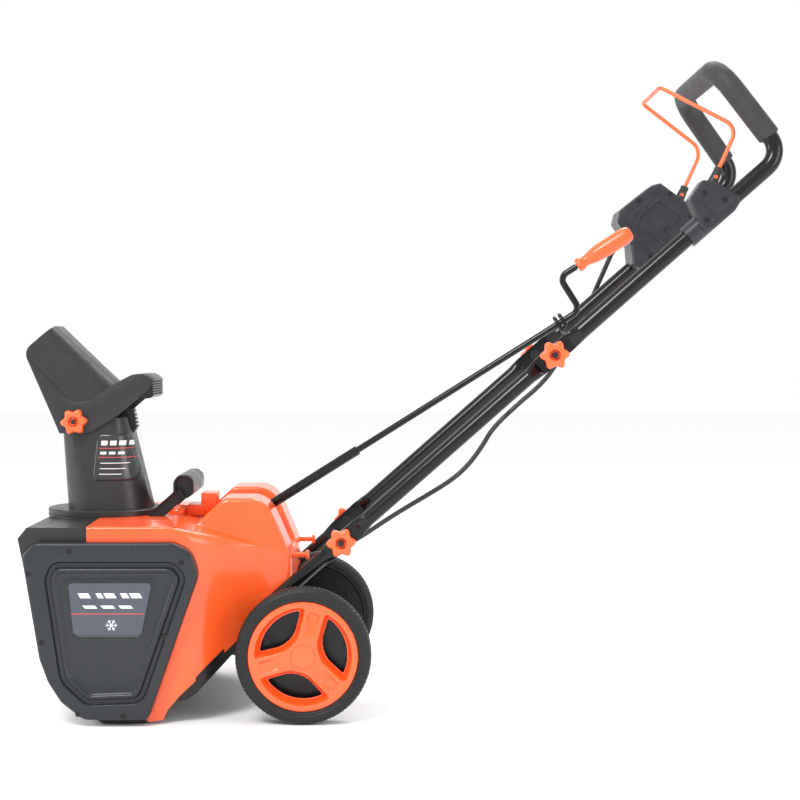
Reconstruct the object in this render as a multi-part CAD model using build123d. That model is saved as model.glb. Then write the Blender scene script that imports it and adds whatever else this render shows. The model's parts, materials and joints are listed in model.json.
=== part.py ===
"""Electric single-stage snow blower: a wheeled auger housing with a cranked chute and a two-joint folding handle.

Millimetres. +X points forwards (the way the auger faces), +Y to the operator's left, +Z up.
Every shape is first drawn about the wheel axle's line (X = 0, ground at Z = 0). The whole model is then
moved along X only, so that the origin is the middle of the overall length and width, on the ground.
"""

from math import asin, atan2, cos, degrees, hypot, pi, radians, sin, tan
import os

from build123d import *

# ---- driving dimensions -------------------------------------------------------------------------
WALL = 3.0                      # moulded plastic wall
GAP = 0.4                       # air between moving pieces
RUN = 0.08                      # radial clearance of a running fit

WHEEL_R, RIM_R, WHEEL_IN, WHEEL_OUT = 100.0, 81.0, 174.0, 220.0
AXLE_Z, AXLE_R = WHEEL_R, 5.0
CAP_R = 18.0                    # hub cap

HOUSING_Y = 205.0               # outer face of the auger housing's side plates
SHROUD_Y = HOUSING_Y + WALL     # outer face of the orange shroud beside them
COVER_FLANGE_Y = 229.0          # side cover: outer face of its flange
COVER_RIDGE_Y = 232.0           # side cover: outer face of its raised ridge
TOP_Z = 288.0                   # top of the auger housing
SHROUD_TOP_Z = TOP_Z + WALL

AUGER_X, AUGER_Z, AUGER_R, CHAMBER_R = 301.0, 125.0, 95.0, 101.0
AUGER_HALF = 196.0
SHAFT_R = 8.0
AUGER_PULLEY_R, MOTOR_PULLEY_R = 52.0, 13.0
MOTOR_X, MOTOR_Z, MOTOR_R = 178.0, 220.0, 43.0
PULLEY_Y, PULLEY_WIDTH = 211.0, 9.0

CHUTE_X, CHUTE_HOLE_R, FLANGE_R = 322.0, 62.0, 89.5
FLANGE_Z, FLANGE_THICK = 292.0, 8.5
RING_TEETH, PINION_TEETH, RING_R = 60, 10, 81.0
PINION_R = RING_R * PINION_TEETH / RING_TEETH
TOOTH_HEIGHT = 4.0
PINION_Z = 276.0
TILT_X, TILT_Z, HOOD_Y = 359.5, 437.0, 58.5

HANDLE_RISE = 41.4              # degrees above level, towards the rear
LOWER_X, LOWER_Z = -55.0, 262.0
SECTION_LENGTH = 420.5          # lower pivot to upper pivot
TUBE_R, TOP_TUBE_R, TUBE_WALL = 11.0, 12.5, 1.5
LOWER_TUBE_Y, TUBE_Y = 150.0, 166.0
FLAT_THICK, FLAT_HALF = 6.0, 13.0
BEND_REACH = 450.2  # along the handle from the upper fold to the corner where the tube turns up
BAR_X, BAR_Z, BAR_Y = -613.0, 966.0, 150.0
FOAM_R = 17.0
BAIL_X, BAIL_Z, BAIL_Y, BAIL_R = -600.0, 778.0, 142.0, 3.0
BAIL_PIN_Y = 160.0

CRANK_X, CRANK_Z = 104.0, PINION_Z
GUIDE_X, GUIDE_Y, GUIDE_Z = -395.0, 58.0, 592.6
ROD_R, SLEEVE_R, CRANK_ARM = 5.0, 7.5, 60.0
CABLE_R = 4.0

NEAR, FAR = 1, -1               # the operator's left and right sides
PARTS = {}


def keep(name, *solids):
    """Files one piece, or a group of identical loose pieces, under its name."""
    PARTS[name] = list(solids)


# ---- drawing helpers ----------------------------------------------------------------------------
def slab(outline, y_from, y_to):
    """A flat piece: an outline in X and Z, thick along Y."""
    face = make_face(Polyline(*[(x, y_from, z) for x, z in outline], close=True))
    return extrude(face, amount=abs(y_to - y_from), dir=(0, 1 if y_to > y_from else -1, 0))


def rod(start, end, radius):
    """A round bar from one point to another."""
    start, end = Vector(*start), Vector(*end)
    return Plane(origin=start, z_dir=end - start) * Cylinder(
        radius, (end - start).length, align=(Align.CENTER, Align.CENTER, Align.MIN)
    )


def across(x, z, y_from, y_to, radius):
    """A round bar along Y."""
    return rod((x, y_from, z), (x, y_to, z), radius)


def block(x0, x1, y0, y1, z0, z1):
    """A box between two corners."""
    return Pos((x0 + x1) / 2, (y0 + y1) / 2, (z0 + z1) / 2) * Box(abs(x1 - x0), abs(y1 - y0), abs(z1 - z0))


def mirrored(shape):
    """The same piece on the other side of the machine."""
    return mirror(shape, about=Plane.XZ)


def swept(points, corner_radii, radius, bore=0.0):
    """A bent bar or tube along straight runs joined by tangent arcs."""
    path = FilletPolyline(*points, radius=corner_radii)
    ring = Circle(radius) - Circle(bore) if bore else Circle(radius)
    return sweep(Plane(origin=path @ 0, z_dir=path % 0) * ring, path=path)


def inset_points(outline, distance):
    """The corners of a closed outline, listed clockwise or not, drawn in by a distance on every side."""
    area = sum(a[0] * b[1] - b[0] * a[1] for a, b in zip(outline, outline[1:] + outline[:1]))
    inwards = distance if area > 0 else -distance
    corners = []
    for before, corner, after in zip(outline[-1:] + outline[:-1], outline, outline[1:] + outline[:1]):
        arrive = Vector(corner[0] - before[0], corner[1] - before[1]).normalized()
        leave = Vector(after[0] - corner[0], after[1] - corner[1]).normalized()
        bisector = Vector(-arrive.Y - leave.Y, arrive.X + leave.X).normalized()
        reach = inwards / bisector.dot(Vector(-arrive.Y, arrive.X))
        corners.append((corner[0] + bisector.X * reach, corner[1] + bisector.Y * reach))
    return corners


def upright(face, y_from, y_to):
    """Stands a face drawn in X and Y on edge, so that its Y becomes Z, and gives it a thickness."""
    turned = Plane.XZ * face
    return Pos(0, y_to, 0) * extrude(turned, amount=y_to - y_from)


# ---- auger housing ------------------------------------------------------------------------------
SIDE_OUTLINE = [
    (417, 272), (412, 247), (382, 99), (369, 65), (351, 36), (318, 10), (225, 10), (188, 90), (188, 270),
]
BACK_TURN = radians(150)        # where the curved back wall becomes straight
THROAT = [(250, 239), (258, TOP_Z - WALL)]


def back_wall_face():
    """Section of the chamber's wall: an arc round the auger, then a throat up to the chute."""
    def ring_point(radius, angle):
        return (AUGER_X + radius * cos(angle), AUGER_Z + radius * sin(angle))

    outer_r = CHAMBER_R + WALL
    inner = ThreePointArc(
        ring_point(CHAMBER_R, -pi / 2), ring_point(CHAMBER_R, -5 * pi / 6), ring_point(CHAMBER_R, BACK_TURN)
    )
    outer = ThreePointArc(
        ring_point(outer_r, BACK_TURN), ring_point(outer_r, -5 * pi / 6), ring_point(outer_r, -pi / 2)
    )
    up = Polyline(inner @ 1, *THROAT)
    over = Line(up @ 1, (THROAT[1][0] - WALL, THROAT[1][1]))
    down = Polyline(over @ 1, (THROAT[0][0] - WALL, THROAT[0][1] + 1), outer @ 0)
    foot = Line(outer @ 1, inner @ 0)
    return make_face([inner, up, over, down, outer, foot])


def auger_housing():
    """Two side plates, a curved back wall and a top with the chute's hole, open to the front."""
    inner_y = HOUSING_Y - WALL
    plates = [slab(SIDE_OUTLINE, inner_y, HOUSING_Y), slab(SIDE_OUTLINE, -HOUSING_Y, -inner_y)]
    top_section = [(188, 270), (188, TOP_Z), (404, TOP_Z), (417, 272), (413.6, 272), (402, TOP_Z - WALL),
        (191, TOP_Z - WALL), (191, 270)]
    top = slab(top_section, -HOUSING_Y, HOUSING_Y)
    corners = slab([(188, 270), (188, TOP_Z), (404, TOP_Z), (417, 272), (412, 268)], inner_y, HOUSING_Y)
    wall = upright(back_wall_face(), -HOUSING_Y, HOUSING_Y)
    floor = block(225, AUGER_X + 17, -HOUSING_Y, HOUSING_Y, 10, 13)
    toe = slab([(AUGER_X - 50, 10), (AUGER_X + 17, 10), (AUGER_X + 17, 13), (AUGER_X, 24),
        (AUGER_X - 24, 24)], -HOUSING_Y, HOUSING_Y)
    toe -= across(AUGER_X, AUGER_Z, -HOUSING_Y, HOUSING_Y, CHAMBER_R)
    body = wall + top + plates[0] + plates[1] + corners + mirrored(corners) + floor + toe
    body -= Pos(CHUTE_X, 0, TOP_Z) * Cylinder(CHUTE_HOLE_R, 20)
    body -= block(RING_SLOT_X[0], RING_SLOT_X[1], -18, 18, TOP_Z - 10, TOP_Z + 5)
    body -= across(AUGER_X, AUGER_Z, -HOUSING_Y - 1, HOUSING_Y + 1, BEARING_R)
    body -= across(MOTOR_X, MOTOR_Z, 180, HOUSING_Y + 1, 10)
    return body - rod((180, 0, PINION_Z), (200, 0, PINION_Z), 4.5)


RING_SLOT_X = (CHUTE_X - RING_R - 8, CHUTE_X - RING_R + 5.5)
BEARING_R = 16.0

# ---- orange shroud and the pan under it ---------------------------------------------------------
SHROUD_FRONT_X, SHROUD_REAR_X = 316.0, 21.0
DOME_IN_Y, DOME_OUT_Y = 32.0, 132.0
CHANNEL_HALF, CHANNEL_Z, CHANNEL_FRONT_X = 15.0, 260.0, 166.0


def shroud_plan(inset):
    """Outline from above: parallel beside the housing, drawn in between the wheels."""
    half = [(190, 208), (160, 203), (118, 171), (85, 142), (SHROUD_REAR_X, 132)]
    half = [(x + (inset if x == SHROUD_REAR_X else 0), y - inset) for x, y in half]
    front = SHROUD_FRONT_X + (20 if inset else 0)
    flank = Spline(*half, tangents=[(-1, 0), (-1, -0.1)])
    other = Spline(*[(x, -y) for x, y in half], tangents=[(-1, 0), (-1, 0.1)])
    lines = [
        flank, other, Line(flank @ 1, other @ 1),
        Polyline(flank @ 0, (front, SHROUD_Y - inset), (front, inset - SHROUD_Y), other @ 0),
    ]
    return extrude(make_face(lines), amount=360)


def shroud_side(inset, top):
    """Outline from the side, below the domes."""
    t = inset
    crown = [(340, top - t), (195, top - t), (128, top - 17 - t), (SHROUD_REAR_X, 239 - t)]
    if inset:
        belly = [(SHROUD_REAR_X, 150), (200, -20), (340, -20)]
    else:
        belly = [(SHROUD_REAR_X, 197), (102, 113), (180, 42), (199, 20), (205, 6), (226, 3), (232, 10),
            (340, 10)]
    return slab(crown + belly, -SHROUD_Y - 1, SHROUD_Y + 1)


def dome(side, height, inset):
    """One of the two raised hoods over the motor bay."""
    t = inset
    outline = [
        (176 - 1.4 * t, 276 if not t else 250), (125 - 0.4 * t, height - t), (77 + 0.2 * t, height - t),
        (56 + 0.7 * t, height - 14 - 0.7 * t), (35 + 0.9 * t, 270), (21 + 0.9 * t, 236), (60, 230),
        (176, 230),
    ]
    low, high = sorted((side * (DOME_IN_Y + t), side * (DOME_OUT_Y - t)))
    shape = slab(outline, low, high)
    if not t:
        shape = fillet(shape.edges().filter_by(lambda e: e.center().Z > 272 and abs(e.tangent_at(0.5).Y) < 0.1), 7)
    return shape


def shroud_solid(inset):
    """The shroud's outer form, or with an inset the space inside it."""
    body = shroud_plan(inset) & shroud_side(inset, SHROUD_TOP_Z)
    channel = block(-20, CHANNEL_FRONT_X + inset, -CHANNEL_HALF - inset, CHANNEL_HALF + inset,
        CHANNEL_Z - inset, 400)
    return body + dome(NEAR, 324, inset) + dome(FAR, 328, inset) - channel


def motor_cover():
    """Orange shroud over the housing's back, with two domes, a crank channel and screw bosses."""
    shell = shroud_solid(0) - shroud_solid(WALL)
    shell -= Pos(CHUTE_X, 0, 300) * Cylinder(FLANGE_R + 2, 60)
    shell -= block(250, 330, -HOUSING_Y - 0.01, HOUSING_Y + 0.01, -10, TOP_Z)
    shell -= block(188, 330, -HOUSING_Y - 0.01, HOUSING_Y + 0.01, 60, TOP_Z)
    behind_cover = [(330, 264), (206, 264), (168, 226), (240, -20), (330, -20)]
    shell -= slab(behind_cover, HOUSING_Y - 1, SHROUD_Y + 1)
    shell -= slab(behind_cover, -SHROUD_Y - 1, 1 - HOUSING_Y)
    shell -= rod((150, 0, PINION_Z), (185, 0, PINION_Z), 4.5)
    for side in (NEAR, FAR):
        shell -= rod((10, side * 118, 226), (40, side * 118, 226), 2.0)
        shell -= rod((0, side * 104, 236), (40, side * 104, 236), 4.0)
        for reach in FOOT_BOLTS:
            x, z = along_handle(-reach)
            shell -= across(x, z, side * 100, side * 160, 4.0)
    shell -= across(MOTOR_X, MOTOR_Z, 190, SHROUD_Y + 1, 10)
    return shell - rod((0, CABLE_ENTRY_Y, 214), (40, CABLE_ENTRY_Y, 214), 6.0)


CABLE_ENTRY_Y = -60.0


def bottom_cover():
    """Black pan under the motor bay, with two ribs that carry the axle and the handle's feet."""
    floor = [(196, 37), (188, 33), (172, 34), (158, 43), (24.5, 178)]
    pan = floor + [(24.5, 196), (180, 46)]
    outer = slab(pan, -HOUSING_Y, HOUSING_Y) & shroud_plan(WALL)
    hollow = [(x + 2.2, z + 2.2) for x, z in floor] + [(26.7, 220), (196, 220)]
    outer -= slab(hollow, -HOUSING_Y, HOUSING_Y) & shroud_plan(2 * WALL)
    ribs = [
        (24.5, 196), (88, 138), (130, 96), (118, 88), (60, 78), (10, 84), (-13, 90), (-13, 110), (2, 128),
        (16, 182), (24.5, 190),
    ]
    shape = outer
    for side in (NEAR, FAR):
        low, high = sorted((side * 117, side * 128))
        shape += slab(ribs, low, high)
    front = slab([(196, 37), (188, 33), (205, 12), (224, 12), (224, 16), (208, 16)], -200, 200)
    shape += front
    shape -= across(0, AXLE_Z, -140, 140, AXLE_R)
    for side in (NEAR, FAR):
        for reach in FOOT_BOLTS:
            x, z = along_handle(-reach)
            shape -= across(x, z, side * 110, side * 140, 4.0)
    return shape


def along_handle(distance, x=None, z=None):
    """A point on the handle's straight line, counted rearwards from the lower pivot."""
    x = LOWER_X if x is None else x
    z = LOWER_Z if z is None else z
    return (x - distance * cos(radians(HANDLE_RISE)), z + distance * sin(radians(HANDLE_RISE)))


FOOT_BOLTS = (118.0, 152.0)
UPPER_X, UPPER_Z = along_handle(SECTION_LENGTH)

# ---- side covers --------------------------------------------------------------------------------
COVER_OUTLINE = [
    (388, 268), (188, 268), (162, 256), (150.5, 222), (225, 10), (318, 10), (351, 36.5), (369.5, 65.6),
    (382, 99),
    (407, 250),
]
RELIEF_OUTLINE = [(363, 241), (187, 241), (167, 219), (232, 34), (315, 31), (352, 66), (374, 215)]
COVER_SCREWS = [(336.6, 257), (175, 240.5), (395.5, 224), (377.5, 124), (201, 131), (326, 19), (260, 17)]
LABEL_OUTLINE = [(341, 211), (217, 211), (233, 132.5), (333, 132.5)]
SCREW_R = 2.6


def rounded(face, radius):
    """Rounds every corner of a flat face."""
    return fillet(face.vertices(), radius)


def side_cover(side):
    """Moulded cover: a flange, a sunk channel, a raised ridge and a flat with a recess for the label."""
    def layer(outline, inset, radius, y_from, y_to):
        return rounded_slab(inset_points(outline, inset), radius, y_from, y_to)

    cover = layer(COVER_OUTLINE, 0, 8, HOUSING_Y, COVER_FLANGE_Y)
    cover = chamfer(cover.faces().sort_by(Axis.Y)[-1].edges(), 2.5)
    cover -= layer(COVER_OUTLINE, 6, 5, HOUSING_Y, 221.0)
    cover -= layer(RELIEF_OUTLINE, 0, 14, 224.5, 231) - layer(RELIEF_OUTLINE, 8, 11, 220, 233)
    cover += layer(RELIEF_OUTLINE, 8, 11, 226, COVER_RIDGE_Y) - layer(RELIEF_OUTLINE, 15, 8,
        COVER_FLANGE_Y, 233)
    cover -= layer(RELIEF_OUTLINE, 12, 9, 220, 226)
    cover -= rounded_slab(LABEL_OUTLINE, 9, COVER_FLANGE_Y - 1.2, 234)
    for x, z in COVER_SCREWS:
        cover += across(x, z, HOUSING_Y, 222, 4.5)
        cover -= across(x, z, HOUSING_Y - 1, COVER_FLANGE_Y + 1, SCREW_R)
        cover -= across(x, z, COVER_FLANGE_Y - 4, COVER_FLANGE_Y + 1, 4.3)
    cover -= shroud_solid(0)
    return cover if side == NEAR else mirrored(cover)


def pan_screw(x, z, y_seat, length, side):
    """A cross-recess screw whose head faces sideways."""
    head = across(x, z, y_seat, y_seat + 2.4, 4.2) + across(x, z, y_seat - length, y_seat, SCREW_R)
    for wide, high in ((5, 1.1), (1.1, 5)):
        head -= block(x - wide / 2, x + wide / 2, y_seat + 1, y_seat + 3, z - high / 2, z + high / 2)
    return head if side == NEAR else mirrored(head)


# ---- wheels -------------------------------------------------------------------------------------
def tyre():
    """Rubber tyre with a crowned tread and rounded shoulders."""
    mid = (WHEEL_IN + WHEEL_OUT) / 2
    section = make_face(
        [
            Polyline((RIM_R, WHEEL_IN + 2), (90, WHEEL_IN), (95, WHEEL_IN + 1)),
            ThreePointArc((95, WHEEL_IN + 1), (98.6, WHEEL_IN + 3.6), (99.4, WHEEL_IN + 8)),
            ThreePointArc((99.4, WHEEL_IN + 8), (WHEEL_R, mid), (99.4, WHEEL_OUT - 8)),
            ThreePointArc((99.4, WHEEL_OUT - 8), (98.6, WHEEL_OUT - 3.6), (95, WHEEL_OUT - 1)),
            Polyline((95, WHEEL_OUT - 1), (90, WHEEL_OUT), (RIM_R, WHEEL_OUT - 2), (RIM_R, WHEEL_IN + 2)),
        ]
    )
    return Pos(0, 0, AXLE_Z) * revolve(section, Axis.Y)


def spoke(angle):
    """One of three sunk-centre spokes between hub and rim."""
    bar = block(-11, 11, WHEEL_OUT - 20, WHEEL_OUT - 5, 14, 70)
    flare = slab([(-11, 44), (-20, 68), (20, 68), (11, 44)], WHEEL_OUT - 20, WHEEL_OUT - 5)
    sunk = block(-6, 6, WHEEL_OUT - 8, WHEEL_OUT - 4, 22, 62)
    return Rot(0, angle, 0) * (bar + flare - sunk)


def rim():
    """Orange moulded rim: bead ring, three spokes and a hub sleeve."""
    ring = across(0, 0, WHEEL_IN + 4, WHEEL_OUT - 3, RIM_R - 0.02) - across(0, 0, WHEEL_IN, WHEEL_OUT, 65)
    ring -= across(0, 0, WHEEL_IN, WHEEL_IN + 22, 77)
    hub = across(0, 0, WHEEL_IN - 4, WHEEL_OUT - 20, 19) + across(0, 0, WHEEL_OUT - 20, WHEEL_OUT - 4, 24)
    shape = ring + hub
    for step in range(3):
        shape += spoke(15 + 120 * step)
    shape -= across(0, 0, WHEEL_IN - 10, WHEEL_OUT + 5, AXLE_R + RUN)
    shape -= across(0, 0, WHEEL_OUT - 12, WHEEL_OUT + 5, CAP_R)
    return Pos(0, 0, AXLE_Z) * shape


def wheel_disc():
    """Black disc with low ribs that closes the wheel from inside."""
    disc = across(0, 0, WHEEL_IN + 1, WHEEL_IN + 3.9, RIM_R - 0.1)
    for step in range(12):
        disc += Rot(0, 30 * step, 0) * block(-1, 1, WHEEL_IN, WHEEL_IN + 2, 20, 76)
    for radius in (36, 56):
        disc += across(0, 0, WHEEL_IN, WHEEL_IN + 2, radius + 1) - across(0, 0, WHEEL_IN, WHEEL_IN + 2,
            radius - 1)
    return Pos(0, 0, AXLE_Z) * (disc - across(0, 0, WHEEL_IN - 1, WHEEL_OUT, 19.1))


def hub_cap():
    """Snap-in cap over the axle's end."""
    cap = across(0, 0, WHEEL_OUT - 6, WHEEL_OUT - 2, CAP_R - 0.05)
    cap -= across(0, 0, WHEEL_OUT - 7, WHEEL_OUT - 4.5, CAP_R - 3)
    return Pos(0, 0, AXLE_Z) * chamfer(cap.faces().sort_by(Axis.Y)[-1].edges(), 1.5)


# ---- auger, motor and belt ----------------------------------------------------------------------
def twisted_bar(reach, thick, y_from, y_to, start, turn):
    """A bar across the shaft that twists as it goes along it: two opposite helical flights."""
    length = abs(y_to - y_from)
    direction = 1 if y_to > y_from else -1
    half = thick / 2
    section = make_face(Polyline((-reach, 0, -half), (reach, 0, -half), (reach, 0, half),
        (-reach, 0, half), close=True))
    outline = (Rot(0, start, 0) * section).wires()[0]
    solid = Solid.extrude_linear_with_rotation(
        outline, center=(0, 0, 0), normal=(0, direction * length, 0), angle=turn
    )
    return Pos(AUGER_X, y_from, AUGER_Z) * solid


def auger_blade(reach, thick):
    """A straight paddle in the middle and a twisted flight on each side of it."""
    middle = 42.0
    paddle = Pos(AUGER_X, 0, AUGER_Z) * (Rot(0, 20, 0) * Box(2 * reach, 2 * middle, thick))
    left = twisted_bar(reach, thick, middle, AUGER_HALF, 20, 115)
    right = twisted_bar(reach, thick, -middle, -AUGER_HALF, 20, 115)
    return paddle + left + right


def tangent_strap(extra):
    """Outline of a belt round both pulleys, as a face in X and Z."""
    big, small = AUGER_PULLEY_R + extra, MOTOR_PULLEY_R + extra
    dx, dz = MOTOR_X - AUGER_X, MOTOR_Z - AUGER_Z
    base, spread = atan2(dz, dx), asin((big - small) / hypot(dx, dz)) - pi / 2
    corners = []
    for sign in (1, -1):
        turn = base + sign * (pi / 2 - (spread + pi / 2))
        corners.append((AUGER_X + big * cos(turn), AUGER_Z + big * sin(turn)))
        corners.append((MOTOR_X + small * cos(turn), MOTOR_Z + small * sin(turn)))
    side_a, side_b = corners[:2], corners[2:]
    quad = make_face(Polyline(side_a[0], side_a[1], side_b[1], side_b[0], close=True))
    return quad + Pos(AUGER_X, AUGER_Z) * Circle(big) + Pos(MOTOR_X, MOTOR_Z) * Circle(small)


def pulley(x, z, radius, bore):
    """A flat belt pulley with two low rims."""
    wheel = across(x, z, PULLEY_Y, PULLEY_Y + PULLEY_WIDTH, radius)
    for y in (PULLEY_Y, PULLEY_Y + PULLEY_WIDTH - 0.8):
        wheel += across(x, z, y, y + 0.8, radius + 1.5)
    return wheel - across(x, z, PULLEY_Y - 1, PULLEY_Y + 12, bore)


def drive():
    """Motor, belt and auger."""
    shaft = across(AUGER_X, AUGER_Z, -HOUSING_Y - 4, PULLEY_Y + PULLEY_WIDTH, SHAFT_R)
    shaft -= across(AUGER_X, AUGER_Z, PULLEY_Y + 5, PULLEY_Y + 12, 3)
    keep("auger_shaft", shaft)
    drum = across(AUGER_X, AUGER_Z, -AUGER_HALF, AUGER_HALF, 20)
    plate = auger_blade(62, 5) + drum - across(AUGER_X, AUGER_Z, -210, 210, SHAFT_R)
    keep("auger_frame", plate)
    rubber = auger_blade(AUGER_R, 10) - across(AUGER_X, AUGER_Z, -210, 210, 62.2)
    keep("auger_rubber", rubber)
    wheel = pulley(AUGER_X, AUGER_Z, AUGER_PULLEY_R, SHAFT_R)
    for step in range(6):
        angle = radians(60 * step)
        wheel -= across(AUGER_X + 32 * cos(angle), AUGER_Z + 32 * sin(angle), 205, 225, 10)
    keep("auger_pulley", wheel)
    bearings = []
    for side in (NEAR, FAR):
        low, high = sorted((side * (HOUSING_Y - 6), side * (HOUSING_Y + 3)))
        bearings.append(
            across(AUGER_X, AUGER_Z, low, high, BEARING_R) - across(AUGER_X, AUGER_Z, low, high,
            SHAFT_R + RUN)
        )
    keep("auger_bearings", *bearings)

    can = across(MOTOR_X, MOTOR_Z, 40, 176, MOTOR_R) - across(MOTOR_X, MOTOR_Z, 43, 173, MOTOR_R - 2.5)
    can -= across(MOTOR_X, MOTOR_Z, 30, 180, 4 + RUN)
    for step in range(8):
        angle = radians(45 * step + 20)
        can -= across(MOTOR_X + 30 * cos(angle), MOTOR_Z + 30 * sin(angle), 30, 60, 6)
    keep("motor_case", can)
    plate = [
        (-32, -20), (-18, -38), (28, -40), (28, -28), (50, 24), (50, 42), (12, 46), (-18, 38), (-32, 20),
    ]
    bracket = slab([(MOTOR_X + dx, MOTOR_Z + dz) for dx, dz in plate], 176, 182)
    for dx, dz in ((20, 38), (42, 32), (22, -34)):
        bracket += across(MOTOR_X + dx, MOTOR_Z + dz, 182, HOUSING_Y - WALL, 5)
    keep("motor_bracket", bracket - across(MOTOR_X, MOTOR_Z, 170, 205, 10))
    armature = across(MOTOR_X, MOTOR_Z, 22, PULLEY_Y + PULLEY_WIDTH, 4)
    armature += across(MOTOR_X, MOTOR_Z, 75, 140, 27) + across(MOTOR_X, MOTOR_Z, 52, 68, 14)
    keep("motor_armature", armature)
    fan = across(MOTOR_X, MOTOR_Z, 24, 36, 9) + across(MOTOR_X, MOTOR_Z, 34, 36, 36)
    for step in range(8):
        fan += Pos(MOTOR_X, 0, MOTOR_Z) * (Rot(0, 45 * step, 0) * block(-1, 1, 25, 34.5, 8, 36))
    keep("cooling_fan", fan - across(MOTOR_X, MOTOR_Z, 20, 40, 4))
    keep("motor_pulley", pulley(MOTOR_X, MOTOR_Z, MOTOR_PULLEY_R, 4))
    belt = upright(tangent_strap(GAP + 2.6), PULLEY_Y + 1.2, PULLEY_Y + PULLEY_WIDTH - 1.2)
    belt -= upright(tangent_strap(GAP), PULLEY_Y, PULLEY_Y + PULLEY_WIDTH)
    keep("drive_belt", belt)


# ---- chute and its crank drive ------------------------------------------------------------------
def chute_section(z, x_rear, x_front, half, radius, inset):
    """One level of the chute's tapering duct."""
    plane = Plane(origin=((x_rear + x_front) / 2, 0, z))
    return plane * RectangleRounded(x_front - x_rear - 2 * inset, 2 * (half - inset), radius - inset)


def chute_duct(inset, top_z=442.0, bottom_z=296.0):
    """The duct's outer form, or with an inset its bore."""
    base = chute_section(bottom_z, 245, 379, 66, 60, inset)
    mouth = chute_section(top_z, 284, 385, 52, 26, inset)
    return loft([base, mouth])


def crown_tooth(angle):
    """One tooth under the chute's flange."""
    tooth = block(RING_R - 5, RING_R + 5, -1.6, 1.6, FLANGE_Z - TOOTH_HEIGHT, FLANGE_Z + 1)
    return Pos(CHUTE_X, 0, 0) * (Rot(0, 0, angle) * tooth)


def chute_tube():
    """Turning chute: flange with crown teeth, tapering duct and the rack that the hood clicks along."""
    flange = Pos(CHUTE_X, 0, FLANGE_Z + FLANGE_THICK / 2) * Cylinder(FLANGE_R, FLANGE_THICK)
    flange = chamfer(flange.edges().sort_by(Axis.Z)[-1], 1.5)
    shape = flange + chute_duct(0)
    shape -= Pos(CHUTE_X, 0, FLANGE_Z) * Cylinder(CHUTE_HOLE_R, 9)
    shape -= chute_duct(WALL, 443.0, 295.0)
    front_notch = slab([(345, 445), (390, 410), (400, 445)], -46, 46)
    shape -= front_notch
    rack = slab([(270, 428), (276, 418), (292, 438), (292, 455), (276, 455)], -10, 10)
    for step in range(4):
        rack -= slab([(266, 428 + 6 * step), (277 + step, 430.5 + 6 * step), (266, 433 + 6 * step)], -11, 11)
    shape += rack - chute_duct(1.0)
    teeth = [crown_tooth(360 / RING_TEETH * (step + 0.5)) for step in range(RING_TEETH)]
    shape = shape.fuse(*teeth)
    for side in (NEAR, FAR):
        shape -= across(TILT_X, TILT_Z, side * 40, side * 60, 3.0)
    return shape


HOOD_SIDE = [(439, 546), (394, 585), (296, 494), (283, 470), (294, 446), (329, 424), (345, 418), (384, 418)]


def deflector():
    """Tilting hood with a rounded back, two arms and a grip bar behind it."""
    outer = slab(HOOD_SIDE, -HOOD_Y, HOOD_Y)
    back = outer.edges().filter_by(lambda e: e.center().Z > 500 and e.center().X < 360 and abs(e.tangent_at(0.5).Y) < 0.1)
    outer = fillet(back, 24)
    inner_outline = [(470, 560), (397.5, 587), (299.5, 491.5), (287, 468), (287, 400), (400, 400)]
    inner = slab(inner_outline, -HOOD_Y + WALL, HOOD_Y - WALL)
    inner_back = inner.edges().filter_by(
        lambda e: e.center().Z > 500 and e.center().X < 380 and abs(e.tangent_at(0.5).Y) < 0.1
    )
    hood = outer - fillet(inner_back, 21)
    arm = [(312, 488), (296, 494), (262, 509), (250, 510), (240, 497), (247, 484), (262, 474), (294, 446),
        (315, 432)]
    for side in (NEAR, FAR):
        low, high = sorted((side * (HOOD_Y - WALL), side * HOOD_Y))
        hood += slab(arm, low, high)
    grip = [(262, 509), (250, 510), (238, 497), (235, 484), (243, 473), (258, 471), (268, 482)]
    hood += slab(grip, -HOOD_Y, HOOD_Y)
    for side in (NEAR, FAR):
        hood -= across(TILT_X, TILT_Z, side * 40, side * 70, 3.0 + RUN)
    return hood


def star_knob(x, z, y_seat, side, bore, size=22.0):
    """Six-lobed clamping knob with a sunk centre; it turns on its bolt."""
    outline = Circle(size - 6)
    for step in range(6):
        angle = radians(60 * step + 10)
        outline += Pos((size - 5.5) * cos(angle), (size - 5.5) * sin(angle)) * Circle(5.5)
    outline = fillet(outline.vertices(), 2.5)
    knob = extrude(outline, amount=17)
    knob = chamfer(knob.faces().sort_by(Axis.Z)[-1].edges(), 1.2)
    knob -= Pos(0, 0, 13) * Cylinder(7, 5, align=(Align.CENTER, Align.CENTER, Align.MIN))
    knob -= Cylinder(bore, 60)
    return Plane(origin=(x, y_seat, z), x_dir=(1, 0, 0), z_dir=(0, side, 0)) * knob


def bolt(x, z, y_head, y_end, radius, head_r):
    """A plain bolt along Y with a thin round head."""
    direction = 1 if y_end > y_head else -1
    return across(x, z, y_head, y_end, radius) + across(x, z, y_head, y_head + direction * 3, head_r)


ROD_BACK = Vector(GUIDE_X - CRANK_X, GUIDE_Y, GUIDE_Z - CRANK_Z).normalized()
ROD_SIDE = ROD_BACK.cross(Vector(0, 0, 1)).normalized()
ROD_UP = ROD_SIDE.cross(ROD_BACK).normalized()
BALL_R = 7.0


def on_rod(distance, up=0.0, side=0.0):
    """A point beside the crank's axis, counted rearwards from its ball joint."""
    return Vector(CRANK_X, 0, CRANK_Z) + ROD_BACK * distance + ROD_UP * up + ROD_SIDE * side


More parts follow.
